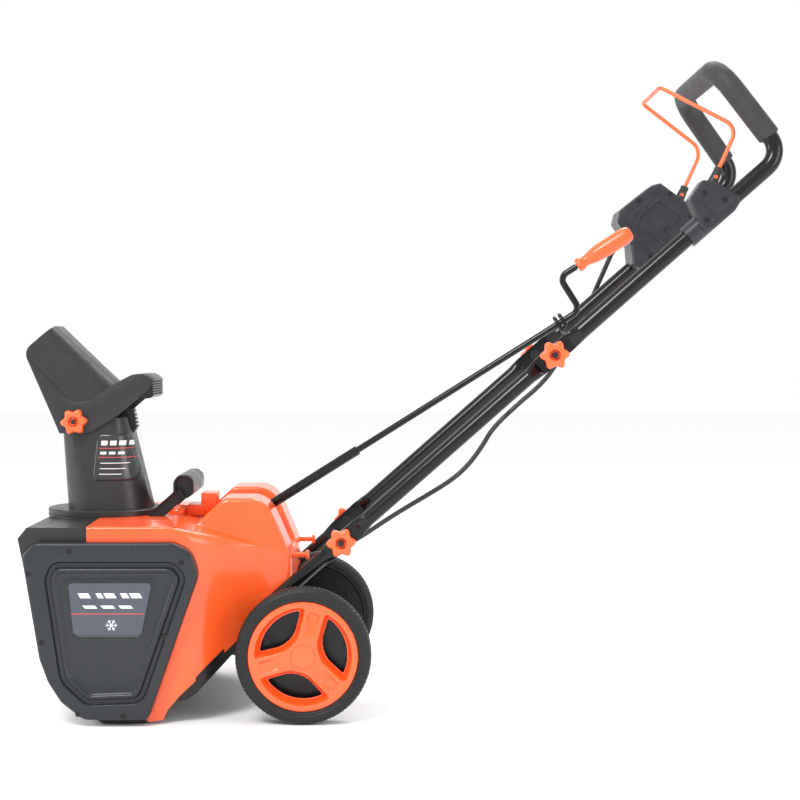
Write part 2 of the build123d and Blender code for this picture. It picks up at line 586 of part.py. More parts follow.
def crank_rod():
    """Bent rod with a socket for the ball at its foot, a long sleeve, and a spindle for the grip."""
    path = FilletPolyline(on_rod(12), on_rod(625), on_rod(625, CRANK_ARM), on_rod(655, CRANK_ARM), radius=13)
    wire = sweep(Plane(origin=path @ 0, z_dir=path % 0) * Circle(ROD_R), path=path)
    sleeve = rod(on_rod(12), on_rod(215), SLEEVE_R)
    cup = rod(on_rod(-1.5), on_rod(20), BALL_R + 3) - Pos(*on_rod(0)) * Sphere(BALL_R + RUN)
    spindle = rod(on_rod(650, CRANK_ARM), on_rod(740, CRANK_ARM), 3.5)
    return wire + sleeve + cup + spindle


def crank_grip():
    """Waisted grip that spins on the crank's spindle."""
    start, end = on_rod(657, CRANK_ARM), on_rod(755, CRANK_ARM)
    length = (end - start).length
    profile = make_face(
        [
            Spline((10, 0), (8.5, 6), (8.6, 14), (12.2, 27), (13.2, 55), (13.2, 86), (12.6, length)),
            Polyline((12.6, length), (0, length), (0, 0), (10, 0)),
        ]
    )
    grip = Plane(origin=start, x_dir=ROD_UP, z_dir=ROD_BACK) * revolve(Plane.XZ * profile, Axis.Z)
    grip -= rod(start - ROD_BACK, on_rod(741, CRANK_ARM), 3.5 + RUN)
    return grip


def pinion_shaft():
    """Horizontal shaft with a small gear under the chute's crown teeth and a ball at its rear end."""
    shaft = rod((CRANK_X, 0, PINION_Z), (CHUTE_X - RING_R + 5, 0, PINION_Z), 4.0)
    gear = rod((CHUTE_X - RING_R - 5, 0, PINION_Z), (CHUTE_X - RING_R + 5, 0, PINION_Z), PINION_R - 2)
    for step in range(PINION_TEETH):
        tooth = slab([(-5, 0), (5, 0), (5, PINION_R + 1.3), (-5, PINION_R + 1.3)], -1.2, 1.2)
        gear += Pos(CHUTE_X - RING_R, 0, PINION_Z) * (Rot(360 / PINION_TEETH * step, 0, 0) * tooth)
    return shaft + gear + Pos(CRANK_X, 0, PINION_Z) * Sphere(BALL_R)


def pinion_bracket():
    """Plastic block that carries the pinion's shaft, hung from the shroud's roof."""
    shape = block(194, 230, -14, 14, 264, TOP_Z - WALL)
    shape -= block(202, 222, -15, 15, 264, 282)
    return shape - rod((160, 0, PINION_Z), (240, 0, PINION_Z), 4.0 + RUN)


def chute_collar():
    """Fixed ring under the chute's flange, which keeps snow out of the teeth."""
    ring = Pos(CHUTE_X, 0, TOP_Z + 1.7) * (Cylinder(FLANGE_R, 3.4) - Cylinder(FLANGE_R - 3, 4))
    inner = Pos(CHUTE_X, 0, TOP_Z + 1.7) * (Cylinder(74, 3.4) - Cylinder(CHUTE_HOLE_R, 4))
    slot = block(CHUTE_X - FLANGE_R - 5, CHUTE_X - 74, -18, 18, TOP_Z - 1, TOP_Z + 8)
    return (ring - slot), inner


def carry_handle():
    """Lifting handle on the roof: a thick bar on two arms."""
    arm = [
        (249, SHROUD_TOP_Z), (222, SHROUD_TOP_Z), (200, 309), (183, 311), (175, 320), (175, 346),
        (182, 355), (198, 355), (207, 345),
        (210, 333),
    ]
    bar = [(200, 318), (183, 318), (175, 326), (175, 346), (182, 355), (198, 355), (207, 345), (207, 328)]
    shape = slab(bar, -72, 72) + slab(arm, 60, 72) + slab(arm, -72, -60)
    for side in (NEAR, FAR):
        shape -= across(191, 337, side * 71, side * 73, 6)
    return shape


# ---- handle -------------------------------------------------------------------------------------
HANDLE_DIR = Vector(-cos(radians(HANDLE_RISE)), 0, sin(radians(HANDLE_RISE)))


def handle_plane(x, y, z):
    """A plane whose X runs rearwards up the handle and whose Y is the machine's Y."""
    return Plane(origin=(x, y, z), x_dir=HANDLE_DIR, z_dir=HANDLE_DIR.cross(Vector(0, 1, 0)))


def flattened_end(plane, y_mid, start, end, hole, tube_y, tube_r, tube_at):
    """A tube's pressed-flat end with a bolt hole at the plane's origin, and its taper to the round tube."""
    low, high = min(start, end), max(start, end)
    flat = Pos((low + high) / 2, y_mid, 0) * Box(high - low, FLAT_THICK, 2 * FLAT_HALF)
    tip = start if abs(start - tube_at) > abs(end - tube_at) else end
    flat += Pos(tip, y_mid, 0) * (Rot(90, 0, 0) * Cylinder(FLAT_HALF, FLAT_THICK))
    root = end if tip == start else start
    sections = [
        Plane(origin=(root, y_mid, 0), z_dir=(1, 0, 0), x_dir=(0, 1, 0)) * RectangleRounded(FLAT_THICK,
        2 * FLAT_HALF, 2.5),
        Plane(origin=(tube_at, tube_y, 0), z_dir=(1, 0, 0), x_dir=(0, 1, 0)) * Circle(tube_r),
    ]
    flat += loft(sections if root < tube_at else sections[::-1])
    flat -= Rot(90, 0, 0) * Cylinder(hole, 400)
    return plane * flat


def round_run(plane, y, start, end, radius):
    """A straight hollow stretch of tube."""
    low, high = min(start, end), max(start, end)
    face = Plane(origin=(low, y, 0), z_dir=(1, 0, 0)) * (Circle(radius) - Circle(radius - TUBE_WALL))
    return plane * extrude(face, amount=high - low)


LOWER_FLAT_Y, LOWER_OUTER_FLAT_Y = 158.0, 164.4
UPPER_FLAT_Y, UPPER_OUTER_FLAT_Y = 160.0, 166.4


def lower_tube():
    """Short tube bolted to the machine; its flattened top end carries the first fold."""
    plane = handle_plane(LOWER_X, 0, LOWER_Z)
    tube = flattened_end(plane, LOWER_FLAT_Y, 14, -24, 4.0, LOWER_TUBE_Y, TUBE_R, -42)
    tube += round_run(plane, LOWER_TUBE_Y, -176, -42, TUBE_R)
    for reach in FOOT_BOLTS:
        x, z = along_handle(-reach)
        tube -= across(x, z, 120, 180, 4.0)
    return tube


def middle_tube():
    """Straight tube between the two folds, flattened at both ends."""
    plane = handle_plane(LOWER_X, 0, LOWER_Z)
    far_plane = handle_plane(UPPER_X, 0, UPPER_Z)
    tube = flattened_end(plane, LOWER_OUTER_FLAT_Y, -12, 32, 4.0 + RUN, TUBE_Y, TUBE_R, 52)
    tube += flattened_end(far_plane, UPPER_FLAT_Y, 14, -28, 4.0, TUBE_Y, TUBE_R, -48)
    return tube + round_run(plane, TUBE_Y, 52, SECTION_LENGTH - 48, TUBE_R)


def top_corner():
    """The points that the top handle's tube turns at, near side."""
    bend_x, bend_z = along_handle(BEND_REACH, UPPER_X, UPPER_Z)
    return Vector(bend_x, TUBE_Y, bend_z), Vector(BAR_X, BAR_Y, BAR_Z)


def top_tube():
    """Operator's handle: two legs up from the second fold, joined by a crossbar."""
    plane = handle_plane(UPPER_X, 0, UPPER_Z)
    x, z = along_handle(52, UPPER_X, UPPER_Z)
    bend, corner = top_corner()
    points = [
        (x, TUBE_Y, z), tuple(bend), tuple(corner), (corner.X, -corner.Y, corner.Z),
        (bend.X, -bend.Y, bend.Z),
        (x, -TUBE_Y, z),
    ]
    tube = swept(points, [34, 44, 44, 34], TOP_TUBE_R, TOP_TUBE_R - TUBE_WALL)
    end = flattened_end(plane, UPPER_OUTER_FLAT_Y, -12, 32, 4.0 + RUN, TUBE_Y, TOP_TUBE_R, 52)
    return tube + end + mirrored(end)


def handle_foam():
    """Foam sleeve over the legs' tops and the crossbar."""
    bend, corner = top_corner()
    up = (corner - bend).normalized()
    foot = bend + up * 31
    points = [tuple(foot), tuple(corner), (corner.X, -corner.Y, corner.Z), (foot.X, -foot.Y, foot.Z)]
    return swept(points, [44, 44], FOAM_R, TOP_TUBE_R + 0.02)


BOX_OUTLINE = [
    (-501, 758), (-505, 776), (-558, 818), (-572, 822), (-627, 782), (-632, 762), (-543, 679), (-527, 687),
    (-524, 720),
    (-511, 744),
]
BOX_Y = (-184.0, -134.0, -106.0)
BOX_SCREWS = [(-537, 793), (-588, 804), (-556, 702), (-622, 767)]
HUB_OUTLINE = [
    (-567, 769), (-586, 797), (-603, 796), (-640, 775), (-642, 765), (-634, 752), (-604, 727), (-592, 721),
    (-584, 729),
]
HUB_Y = (150.0, 187.0)
HUB_SCREWS = [(-588, 778), (-618, 768), (-592, 738)]
BUTTON_X, BUTTON_Z = -562.0, 794.0


def tube_hole(radius, side):
    """The straight part of the top tube as a solid, to bore pieces that clamp on it."""
    a, b = along_handle(60, UPPER_X, UPPER_Z), along_handle(400, UPPER_X, UPPER_Z)
    return rod((a[0], side * TUBE_Y, a[1]), (b[0], side * TUBE_Y, b[1]), radius)


def rounded_slab(outline, radius, y_from, y_to):
    """A slab whose outline has rounded corners."""
    return upright(rounded(make_face(Polyline(*outline, close=True)), radius), y_from, y_to)


def switch_box():
    """Outer half of the switch housing, clamped on the right-hand leg."""
    low, mid, _ = BOX_Y
    shape = rounded_slab(BOX_OUTLINE, 5, low, mid)
    a, b = along_handle(258, UPPER_X, UPPER_Z), along_handle(318, UPPER_X, UPPER_Z)
    shape += rod((a[0], -TUBE_Y, a[1]), (b[0], -TUBE_Y, b[1]), 17)
    shape -= upright(offset(make_face(Polyline(*BOX_OUTLINE, close=True)), amount=-WALL), low + WALL,
        mid + 1) & block(
        -640, -500, -190, -100, 730, 830
    )
    shape += across(BUTTON_X, BUTTON_Z, low, low + 16, 12)
    shape -= across(BUTTON_X, BUTTON_Z, low - 1, low + 12, 9)
    shape -= tube_hole(TOP_TUBE_R + 0.02, FAR)
    slot_y = BAIL_Y - 8.0
    slot = [(BAIL_X + 6, BAIL_Z - 6), (BAIL_X - 8, BAIL_Z + 60), (BAIL_X - 60, BAIL_Z + 50),
        (BAIL_X - 8, BAIL_Z - 8)]
    shape -= slab(slot, -BAIL_Y - 8.5, -slot_y)
    shape += across(BAIL_X, BAIL_Z, low + 1, -BAIL_Y - 7, 8)
    return shape - across(BAIL_X, BAIL_Z, -BAIL_PIN_Y - 1, -slot_y, BAIL_R + RUN)


def switch_box_cover():
    """Inner half of the switch housing, with a sunk panel."""
    _, mid, high = BOX_Y
    shape = rounded_slab(BOX_OUTLINE, 5, mid, high)
    shape = chamfer(shape.faces().sort_by(Axis.Y)[-1].edges(), 3)
    shape -= upright(offset(make_face(Polyline(*BOX_OUTLINE, close=True)), amount=-WALL), mid - 1,
        high - WALL)
    panel = [(-530, 752), (-535, 772), (-565, 795), (-608, 765), (-560, 722)]
    shape -= rounded_slab(panel, 5, high - 1.2, high + 1)
    for x, z in BOX_SCREWS:
        shape += across(x, z, mid, high - WALL, 5)
        shape -= across(x, z, mid - 1, high + 1, SCREW_R)
        shape -= across(x, z, high - 2, high + 1, 4.3)
    return shape


def bail_hub():
    """Housing on the left-hand leg that holds the other end of the bail."""
    low, high = HUB_Y
    shape = rounded_slab(HUB_OUTLINE, 4, low, high)
    shape = chamfer(shape.faces().sort_by(Axis.Y)[-1].edges(), 3)
    a, b = along_handle(262, UPPER_X, UPPER_Z), along_handle(334, UPPER_X, UPPER_Z)
    shape += rod((a[0], TUBE_Y, a[1]), (b[0], TUBE_Y, b[1]), 16.5)
    shape -= tube_hole(TOP_TUBE_R + 0.02, NEAR)
    shape -= across(BAIL_X, BAIL_Z, low - 20, BAIL_PIN_Y + 1, BAIL_R + RUN)
    for x, z in HUB_SCREWS:
        shape -= across(x, z, high - 12, high + 1, SCREW_R)
        shape -= across(x, z, high - 2, high + 1, 4.3)
    return shape


def bail():
    """Orange wire bar that is squeezed towards the grip to run the motor."""
    half = [
        (BAIL_X, BAIL_PIN_Y, BAIL_Z), (BAIL_X, BAIL_Y, BAIL_Z), (-643, BAIL_Y, 871), (-628, BAIL_Y - 3, 893),
        (-539, 86, 948),
    ]
    far = [(x, -y, z) for x, y, z in reversed(half)]
    return swept(half + far, [5, 10, 9, 14, 14, 9, 10, 5], BAIL_R)


def bail_boot(side):
    """Ribbed rubber boot round the foot of the bail's leg."""
    leg = Vector(-643 - BAIL_X, 0, 871 - BAIL_Z).normalized()
    foot = Vector(BAIL_X, side * BAIL_Y, BAIL_Z)
    boot = rod(foot + leg * 13, foot + leg * 46, 5.6)
    for step in range(5):
        boot += rod(foot + leg * (14 + 6.5 * step), foot + leg * (17.5 + 6.5 * step), 7.2 - 0.3 * step)
    return boot - rod(foot, foot + leg * 60, BAIL_R)


def crank_guide():
    """Open wire guide on the left-hand leg: two arches over the crank's rod, open below."""
    wire_r, half = 3.0, 11.0
    at = 585.0
    left, right = half, -half
    first, second = at, at + 9
    foot = along_handle(34, UPPER_X, UPPER_Z)
    points = [
        (foot[0], TUBE_Y - 14, foot[1] + 4), tuple(on_rod(first, -15, left + 25)),
        tuple(on_rod(first, -14, left)),
        tuple(on_rod(first, half, left)), tuple(on_rod(first, half, right)), tuple(on_rod(first, -9, right)),
        tuple(on_rod(second, -9, right)), tuple(on_rod(second, half, right)),
        tuple(on_rod(second, half, left)),
        tuple(on_rod(second, -9, left)),
    ]
    return swept(points, [8, 6, 10.5, 10.5, 4, 4, 10.5, 10.5], wire_r)


def plug_inlet():
    """Sunk mains inlet in the outer face of the switch housing, with two pins."""
    x, z, low = -548.0, 752.0, BOX_Y[0]
    shape = across(x, z, low - 14, low, 15) - across(x, z, low - 15, low - 1.5, 12)
    for dx in (-5.5, 5.5):
        shape += across(x + dx, z, low - 11, low - 1, 2)
    return shape


def safety_button():
    """Lock-off button, pressed into the switch housing."""
    low = BOX_Y[0]
    return across(BUTTON_X, BUTTON_Z, low - 4, low + 7, 9 - GAP)


# ---- cable --------------------------------------------------------------------------------------
# Control cable, switch housing to motor bay: two stretches that meet end to end under the handle.
CABLE_UPPER = [
    (-507, -160, 728), (-497, -176, 700), (-484, -187, 668), (-467, -189, 628), (-446, -188, 588),
    (-424, -187, 548),
    (-400, -186, 508), (-376, -184, 482), (-350, -181, 461), (-326, -178, 439),
]
CABLE_LOWER = [
    (-326, -178, 439), (-302, -175, 417), (-284, -172, 386), (-262, -168, 356), (-236, -162, 332),
    (-200, -152, 310),
    (-160, -138, 288), (-118, -118, 264), (-80, -98, 240), (-42, -80, 222), (-8, -66, 215),
    (24, CABLE_ENTRY_Y, 214),
]


def cable_radii(points):
    """The arc at each corner of a cable: 0.45 of the shorter run over the tangent of half the turn."""
    found = []
    for a, b, c in zip(points, points[1:], points[2:]):
        before, after = Vector(*b) - Vector(*a), Vector(*c) - Vector(*b)
        turn = radians(before.get_angle(after))
        found.append(0.45 * min(before.length, after.length) / tan(turn / 2))
    return found


def cable(name, points):
    """One stretch of the cable, with its radii and volume printed."""
    radii = cable_radii(points)
    solid = swept(points, radii, CABLE_R)
    path = FilletPolyline(*points, radius=radii)
    print(name, "length", round(path.length, 1), "volume ratio",
        round(solid.volume / (pi * CABLE_R**2 * path.length), 4))
    print(name, "radii", [round(r) for r in radii])
    keep(name, solid)


# ---- everything together ------------------------------------------------------------------------
def chassis():
    """The pieces that stand still."""
    keep("auger_housing", auger_housing())
    keep("motor_cover", motor_cover())
    keep("bottom_cover", bottom_cover())
    keep("side_cover_left", side_cover(NEAR))
    keep("side_cover_right", side_cover(FAR))
    screws = [
        pan_screw(x, z, COVER_FLANGE_Y - 4, 17, side) for side in (NEAR, FAR) for x, z in COVER_SCREWS
    ]
    keep("cover_screws", *screws)
    keep("scraper_blade", slab([(311, 10), (293, 0), (233, 0), (226, 10)], -HOUSING_Y, HOUSING_Y))
    keep("carry_handle", carry_handle())
    keep("axle", across(0, AXLE_Z, 5.0 - WHEEL_OUT, WHEEL_OUT - 5.0, AXLE_R))
    keep("lower_tubes", lower_tube(), mirrored(lower_tube()))
    pegs = [rod((-4, side * 104, 236), (SHROUD_REAR_X + WALL, side * 104, 236), 4) for side in (NEAR, FAR)]
    pegs = [peg + rod((-4, side * 104, 236), (1, side * 104, 236), 7) for peg, side in zip(pegs, (NEAR, FAR))]
    keep("cord_pegs", *pegs)
    bolts = []
    for side in (NEAR, FAR):
        bolts.append(bolt(LOWER_X, LOWER_Z, side * 151.5, side * 190, 4, 8))
        for reach in FOOT_BOLTS:
            x, z = along_handle(-reach)
            bolts.append(bolt(x, z, side * 164, side * 115, 4, 7))
    keep("lower_bolts", *bolts)
    outer, inner = chute_collar()
    keep("chute_collar", outer, inner)
    keep("pinion_bracket", pinion_bracket())


def moving():
    """Wheels, chute, crank and knobs."""
    for name, piece in (("tyre", tyre()), ("rim", rim()), ("wheel_disc", wheel_disc()),
        ("hub_cap", hub_cap())):
        keep(name + "_left", piece)
        keep(name + "_right", mirrored(piece))
    keep("chute_tube", chute_tube())
    keep("deflector", deflector())
    keep("deflector_bolts", *[bolt(TILT_X, TILT_Z, side * 45, side * 79, 3, 6) for side in (NEAR, FAR)])
    keep("pinion_shaft", pinion_shaft())
    keep("crank_rod", crank_rod())
    keep("crank_grip", crank_grip())
    for side, name in ((NEAR, "left"), (FAR, "right")):
        keep("deflector_knob_" + name, star_knob(TILT_X, TILT_Z, side * (HOOD_Y + GAP), side, 3 + RUN, 20.5))
        seat = LOWER_OUTER_FLAT_Y + FLAT_THICK / 2 + GAP
        keep("lower_knob_" + name, star_knob(LOWER_X, LOWER_Z, side * seat, side, 4 + RUN))
        seat = UPPER_OUTER_FLAT_Y + FLAT_THICK / 2 + GAP
        keep("upper_knob_" + name, star_knob(UPPER_X, UPPER_Z, side * seat, side, 4 + RUN))


def handle():
    """The folding handle and its controls."""
    keep("middle_tubes", middle_tube(), mirrored(middle_tube()))
    keep("upper_bolts", *[bolt(UPPER_X, UPPER_Z, side * 154, side * 191, 4, 8) for side in (NEAR, FAR)])
    keep("top_tube", top_tube())
    keep("handle_foam", handle_foam())
    keep("switch_box", switch_box())
    keep("switch_box_cover", switch_box_cover())
    keep("bail_hub", bail_hub())
    screws = [pan_screw(x, z, BOX_Y[2] - 2, 14, NEAR) for x, z in BOX_SCREWS]
    screws += [pan_screw(x, z, HUB_Y[1] - 2, 6, NEAR) for x, z in HUB_SCREWS]
    keep("control_screws", *screws)
    keep("bail", bail())
    keep("bail_boots", bail_boot(NEAR), bail_boot(FAR))
    keep("crank_guide", crank_guide())
    keep("plug_inlet", plug_inlet())
    keep("safety_button", safety_button())
    cable("cable_upper", CABLE_UPPER)
    cable("cable_lower", CABLE_LOWER)


def overall_shift():
    """How far the model moves along X so that the origin is the middle of its length."""
    box = Compound([solid for solids in PARTS.values() for solid in solids]).bounding_box()
    print("overall size", [round(v, 2) for v in box.size], "Y and Z from", round(box.min.Y, 2),
        round(box.min.Z, 2))
    return -(box.min.X + box.max.X) / 2


def main():
    """Builds every piece, sets the origin and writes one file for each."""
    chassis()
    drive()
    moving()
    handle()
    shift = overall_shift()
    print("axle line at X", round(shift, 3))
    os.makedirs("parts", exist_ok=True)
    for name, solids in PARTS.items():
        moved = [Pos(shift, 0, 0) * solid for solid in solids]
        export_step(moved[0] if len(moved) == 1 else Compound(moved), f"parts/{name}.step")


main()
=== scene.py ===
"""Looks of the snow blower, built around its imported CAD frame.

Metres; +X is forwards and +Y the operator's left.
"""

import json
from math import cos, hypot, pi, radians, sin, sqrt, tan

import bmesh
import bpy
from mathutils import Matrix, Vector


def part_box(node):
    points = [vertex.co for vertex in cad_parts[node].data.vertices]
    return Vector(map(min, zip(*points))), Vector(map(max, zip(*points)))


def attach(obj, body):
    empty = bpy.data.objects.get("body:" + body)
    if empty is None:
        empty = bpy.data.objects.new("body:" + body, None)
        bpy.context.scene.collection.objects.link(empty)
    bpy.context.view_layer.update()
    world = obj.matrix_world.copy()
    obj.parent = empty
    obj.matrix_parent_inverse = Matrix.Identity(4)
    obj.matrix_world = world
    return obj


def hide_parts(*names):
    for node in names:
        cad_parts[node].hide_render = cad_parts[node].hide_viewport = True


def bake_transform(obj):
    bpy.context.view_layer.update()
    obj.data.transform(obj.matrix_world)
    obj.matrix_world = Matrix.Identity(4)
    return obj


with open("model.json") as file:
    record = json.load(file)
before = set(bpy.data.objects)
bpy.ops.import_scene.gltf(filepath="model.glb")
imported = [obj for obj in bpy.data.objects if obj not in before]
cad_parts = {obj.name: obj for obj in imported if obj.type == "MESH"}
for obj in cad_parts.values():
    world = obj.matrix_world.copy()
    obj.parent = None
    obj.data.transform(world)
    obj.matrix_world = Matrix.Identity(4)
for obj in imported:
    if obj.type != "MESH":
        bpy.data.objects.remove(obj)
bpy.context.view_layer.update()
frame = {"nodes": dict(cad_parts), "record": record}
NODES = frame["nodes"]

MM = 0.001


def middle(node):
    """The middle of a node's box."""
    low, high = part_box(node)
    return (Vector(low) + Vector(high)) / 2


AXLE_X = middle("axle").x


def at(x, y, z):
    """A point given in millimetres from the wheels' axle line, as the part's own dimensions are."""
    return Vector((AXLE_X + x * MM, y * MM, z * MM))


# ---------------------------------------------------------------- materials


def shader(name):
    """A new material, its node tree and its Principled shader."""
    material = bpy.data.materials.new(name)
    material.use_nodes = True
    tree = material.node_tree
    return material, tree, tree.nodes["Principled BSDF"]


def noise(tree, scale, detail):
    """A noise pattern in the object's own metres."""
    place = tree.nodes.new("ShaderNodeTexCoord")
    texture = tree.nodes.new("ShaderNodeTexNoise")
    texture.inputs["Scale"].default_value = scale
    texture.inputs["Detail"].default_value = detail
    tree.links.new(place.outputs["Object"], texture.inputs["Vector"])
    return texture.outputs["Fac"]


NOISE_LOW, NOISE_HIGH = 0.3, 0.7  # where nearly all of a noise pattern lies


def ranged(tree, value, low, high):
    """A pattern's middle range stretched to run from low to high."""
    node = tree.nodes.new("ShaderNodeMapRange")
    node.inputs["From Min"].default_value = NOISE_LOW
    node.inputs["From Max"].default_value = NOISE_HIGH
    node.inputs["To Min"].default_value = low
    node.inputs["To Max"].default_value = high
    tree.links.new(value, node.inputs["Value"])
    return node.outputs["Result"]


def mixed(tree, factor, first, second):
    """A colour between two, by a pattern."""
    node = tree.nodes.new("ShaderNodeMix")
    node.data_type = "RGBA"
    tree.links.new(factor, node.inputs["Factor"])
    node.inputs[6].default_value = (*first, 1)
    node.inputs[7].default_value = (*second, 1)
    return node.outputs[2]


CLOUD_SCALE, CLOUD_DETAIL = 26, 5
GLOSS_SCALE, GLOSS_DETAIL = 70, 3
GRAIN_DETAIL, GRAIN_HEIGHT = 2, 0.0006
COAT_ROUGHNESS = 0.12


def finish(name, color, rough, mottle=0.08, grain=1400, depth=0.05, rough_spread=0.08, coat=0.0,
           metallic=0.0, specular=0.5, sheen=0.0):
    """A surface with an uneven tone, an uneven gloss and a fine grain in relief."""
    material, tree, bsdf = shader(name)
    darker = [c * (1 - mottle) for c in color]
    lighter = [min(1.0, c * (1 + mottle)) for c in color]
    cloud = ranged(tree, noise(tree, CLOUD_SCALE, CLOUD_DETAIL), 0, 1)
    tree.links.new(mixed(tree, cloud, darker, lighter), bsdf.inputs["Base Color"])
    gloss = ranged(tree, noise(tree, GLOSS_SCALE, GLOSS_DETAIL), rough - rough_spread, rough + rough_spread)
    tree.links.new(gloss, bsdf.inputs["Roughness"])
    bump = tree.nodes.new("ShaderNodeBump")
    bump.inputs["Strength"].default_value = depth
    bump.inputs["Distance"].default_value = GRAIN_HEIGHT
    tree.links.new(noise(tree, grain, GRAIN_DETAIL), bump.inputs["Height"])
    tree.links.new(bump.outputs["Normal"], bsdf.inputs["Normal"])
    bsdf.inputs["Metallic"].default_value = metallic
    bsdf.inputs["Specular IOR Level"].default_value = specular
    bsdf.inputs["Coat Weight"].default_value = coat
    bsdf.inputs["Coat Roughness"].default_value = COAT_ROUGHNESS
    bsdf.inputs["Sheen Weight"].default_value = sheen
    return material


# Colour, roughness and the rest of each slot's finish.
FINISHES = {
    "housing_plastic": ((0.021, 0.0205, 0.022), 0.36, dict(mottle=0.05, grain=900, depth=0.03, specular=0.4)),
    "cover_plastic": ((0.016, 0.019, 0.023), 0.30,
                      dict(mottle=0.03, grain=900, depth=0.01, rough_spread=0.04, specular=0.4)),
    "orange_plastic": ((0.98, 0.108, 0.017), 0.24,
                       dict(mottle=0.015, grain=500, depth=0.004, rough_spread=0.02, coat=0.35)),
    "black_plastic": ((0.008, 0.008, 0.009), 0.32, dict(grain=1300, depth=0.03, specular=0.35)),
    "box_plastic": ((0.021, 0.022, 0.028), 0.34, dict(mottle=0.05, grain=900, depth=0.02, specular=0.4)),
    "knob_plastic": ((0.98, 0.125, 0.028), 0.30,
                     dict(mottle=0.01, grain=300, depth=0.003, rough_spread=0.03, coat=0.2)),
    "black_tube": ((0.004, 0.004, 0.005), 0.18,
                   dict(mottle=0.03, grain=120, depth=0.002, rough_spread=0.02, coat=0.1, specular=0.3)),
    "orange_wire": ((0.98, 0.13, 0.028), 0.30, dict(mottle=0.03, grain=600, depth=0.02)),
    "tyre_rubber": ((0.010, 0.010, 0.0115), 0.50, dict(mottle=0.15, grain=800, depth=0.10, specular=0.35)),
    "auger_rubber": ((0.020, 0.020, 0.020), 0.62, dict(mottle=0.2, grain=500, depth=0.25)),
    "soft_rubber": ((0.014, 0.014, 0.015), 0.48, dict(mottle=0.1, grain=900, depth=0.08)),
    "foam": ((0.024, 0.0235, 0.025), 0.62,
             dict(mottle=0.10, grain=1300, depth=0.18, specular=0.5, sheen=0.04)),
    "cable_jacket": ((0.010, 0.010, 0.010), 0.38, dict(grain=900, depth=0.06)),
    "auger_paint": ((0.42, 0.42, 0.44), 0.40, dict(mottle=0.10, grain=500, depth=0.12, metallic=0.2)),
    "zinc_steel": ((0.50, 0.50, 0.52), 0.32, dict(mottle=0.12, grain=900, depth=0.08, metallic=0.95)),
    "motor_steel": ((0.38, 0.38, 0.40), 0.38, dict(mottle=0.12, grain=900, depth=0.08, metallic=0.95)),
}
MATERIALS = {name: finish(name, color, rough, **more) for name, (color, rough, more) in FINISHES.items()}
DARK_SCREW = finish("dark_screw", (0.02, 0.02, 0.022), 0.30, mottle=0.2, grain=900, depth=0.06, metallic=0.4)
SLOT_OF = {part["node"]: part["material_slot"] for part in frame["record"]["subparts"]}
BODY_OF = {node: body for body, nodes in frame["record"]["behaviour"]["bodies"].items() for node in nodes}
SIDES = ((1, "left"), (-1, "right"))
for node, piece in NODES.items():
    piece.data.materials.clear()
    screwed = "screws" in node or "bolts" in node
    piece.data.materials.append(DARK_SCREW if screwed else MATERIALS[SLOT_OF[node]])


# ---------------------------------------------------------------- mesh tools


def made(name, vertices, faces, slot, body=None, replaces=(), material=None, smooth=True):
    """A mesh piece with its material, on a body."""
    mesh = bpy.data.meshes.new(name)
    mesh.from_pydata([tuple(v) for v in vertices], [], faces)
    mesh.validate()
    mesh.update()
    piece = bpy.data.objects.new(name, mesh)
    bpy.context.collection.objects.link(piece)
    mesh.materials.append(material or MATERIALS[slot])
    mesh.polygons.foreach_set("use_smooth", [smooth] * len(mesh.polygons))
    if replaces:
        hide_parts(*replaces)
    if body:
        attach(piece, body)
    return piece


def skin(rings, closed=True, caps=True):
    """Faces between rings of points that follow each other, with a cap at each end."""
    count = len(rings[0])
    vertices = [point for ring in rings for point in ring]
    faces = []
    for row in range(len(rings) - 1):
        for step in range(count if closed else count - 1):
            a, b = row * count + step, row * count + (step + 1) % count
            faces.append((a, b, b + count, a + count))
    if caps:
        faces.append(tuple(reversed(range(count))))
        faces.append(tuple(range((len(rings) - 1) * count, len(rings) * count)))
    return vertices, faces


def spline(points, steps):
    """A clamped quadratic B-spline through the runs between control points, as a NURBS of order 3 gives."""
    points = [Vector(p) for p in points]
    knots = [points[0]] + [(a + b) / 2 for a, b in zip(points[1:-2], points[2:-1])] + [points[-1]]
    found = [knots[0]]
    for start, control, end in zip(knots, points[1:-1], knots[1:]):
        for step in range(1, steps + 1):
            t = step / steps
            found.append(start * (1 - t) ** 2 + control * 2 * t * (1 - t) + end * t * t)
    return found


def frames(path):
    """Two directions across the path at each of its points, without twist."""
    tangents = [(b - a).normalized() for a, b in zip(path, path[1:])]
    tangents = [tangents[0]] + [(a + b).normalized() for a, b in zip(tangents, tangents[1:])] + [tangents[-1]]
    side = tangents[0].orthogonal().normalized()
    found = []
    for tangent in tangents:
        side = (side - tangent * side.dot(tangent)).normalized()
        found.append((side, tangent.cross(side)))
    return found


def tube_rings(path, radii, sides):
    """Rings round a path, one radius for each point."""
    rings = []
    for point, (u, v), radius in zip(path, frames(path), radii):
        turns = [2 * pi * step / sides for step in range(sides)]
        rings.append([point + (u * cos(a) + v * sin(a)) * radius for a in turns])
    return rings


def lathe_rings(origin, axis, profile, sides=48):
    """Rings of a turned piece: profile is (distance along axis, radius)."""
    axis = Vector(axis).normalized()
    u = axis.orthogonal().normalized()
    v = axis.cross(u)
    rings = []
    for along, radius in profile:
        turns = [2 * pi * step / sides for step in range(sides)]
        rings.append([Vector(origin) + axis * along + (u * cos(a) + v * sin(a)) * radius for a in turns])
    return rings


def in_mm(profile):
    """Pairs of millimetres in metres."""
    return [(first * MM, second * MM) for first, second in profile]


def length_of(path):
    """Length along a path."""
    return sum((b - a).length for a, b in zip(path, path[1:]))


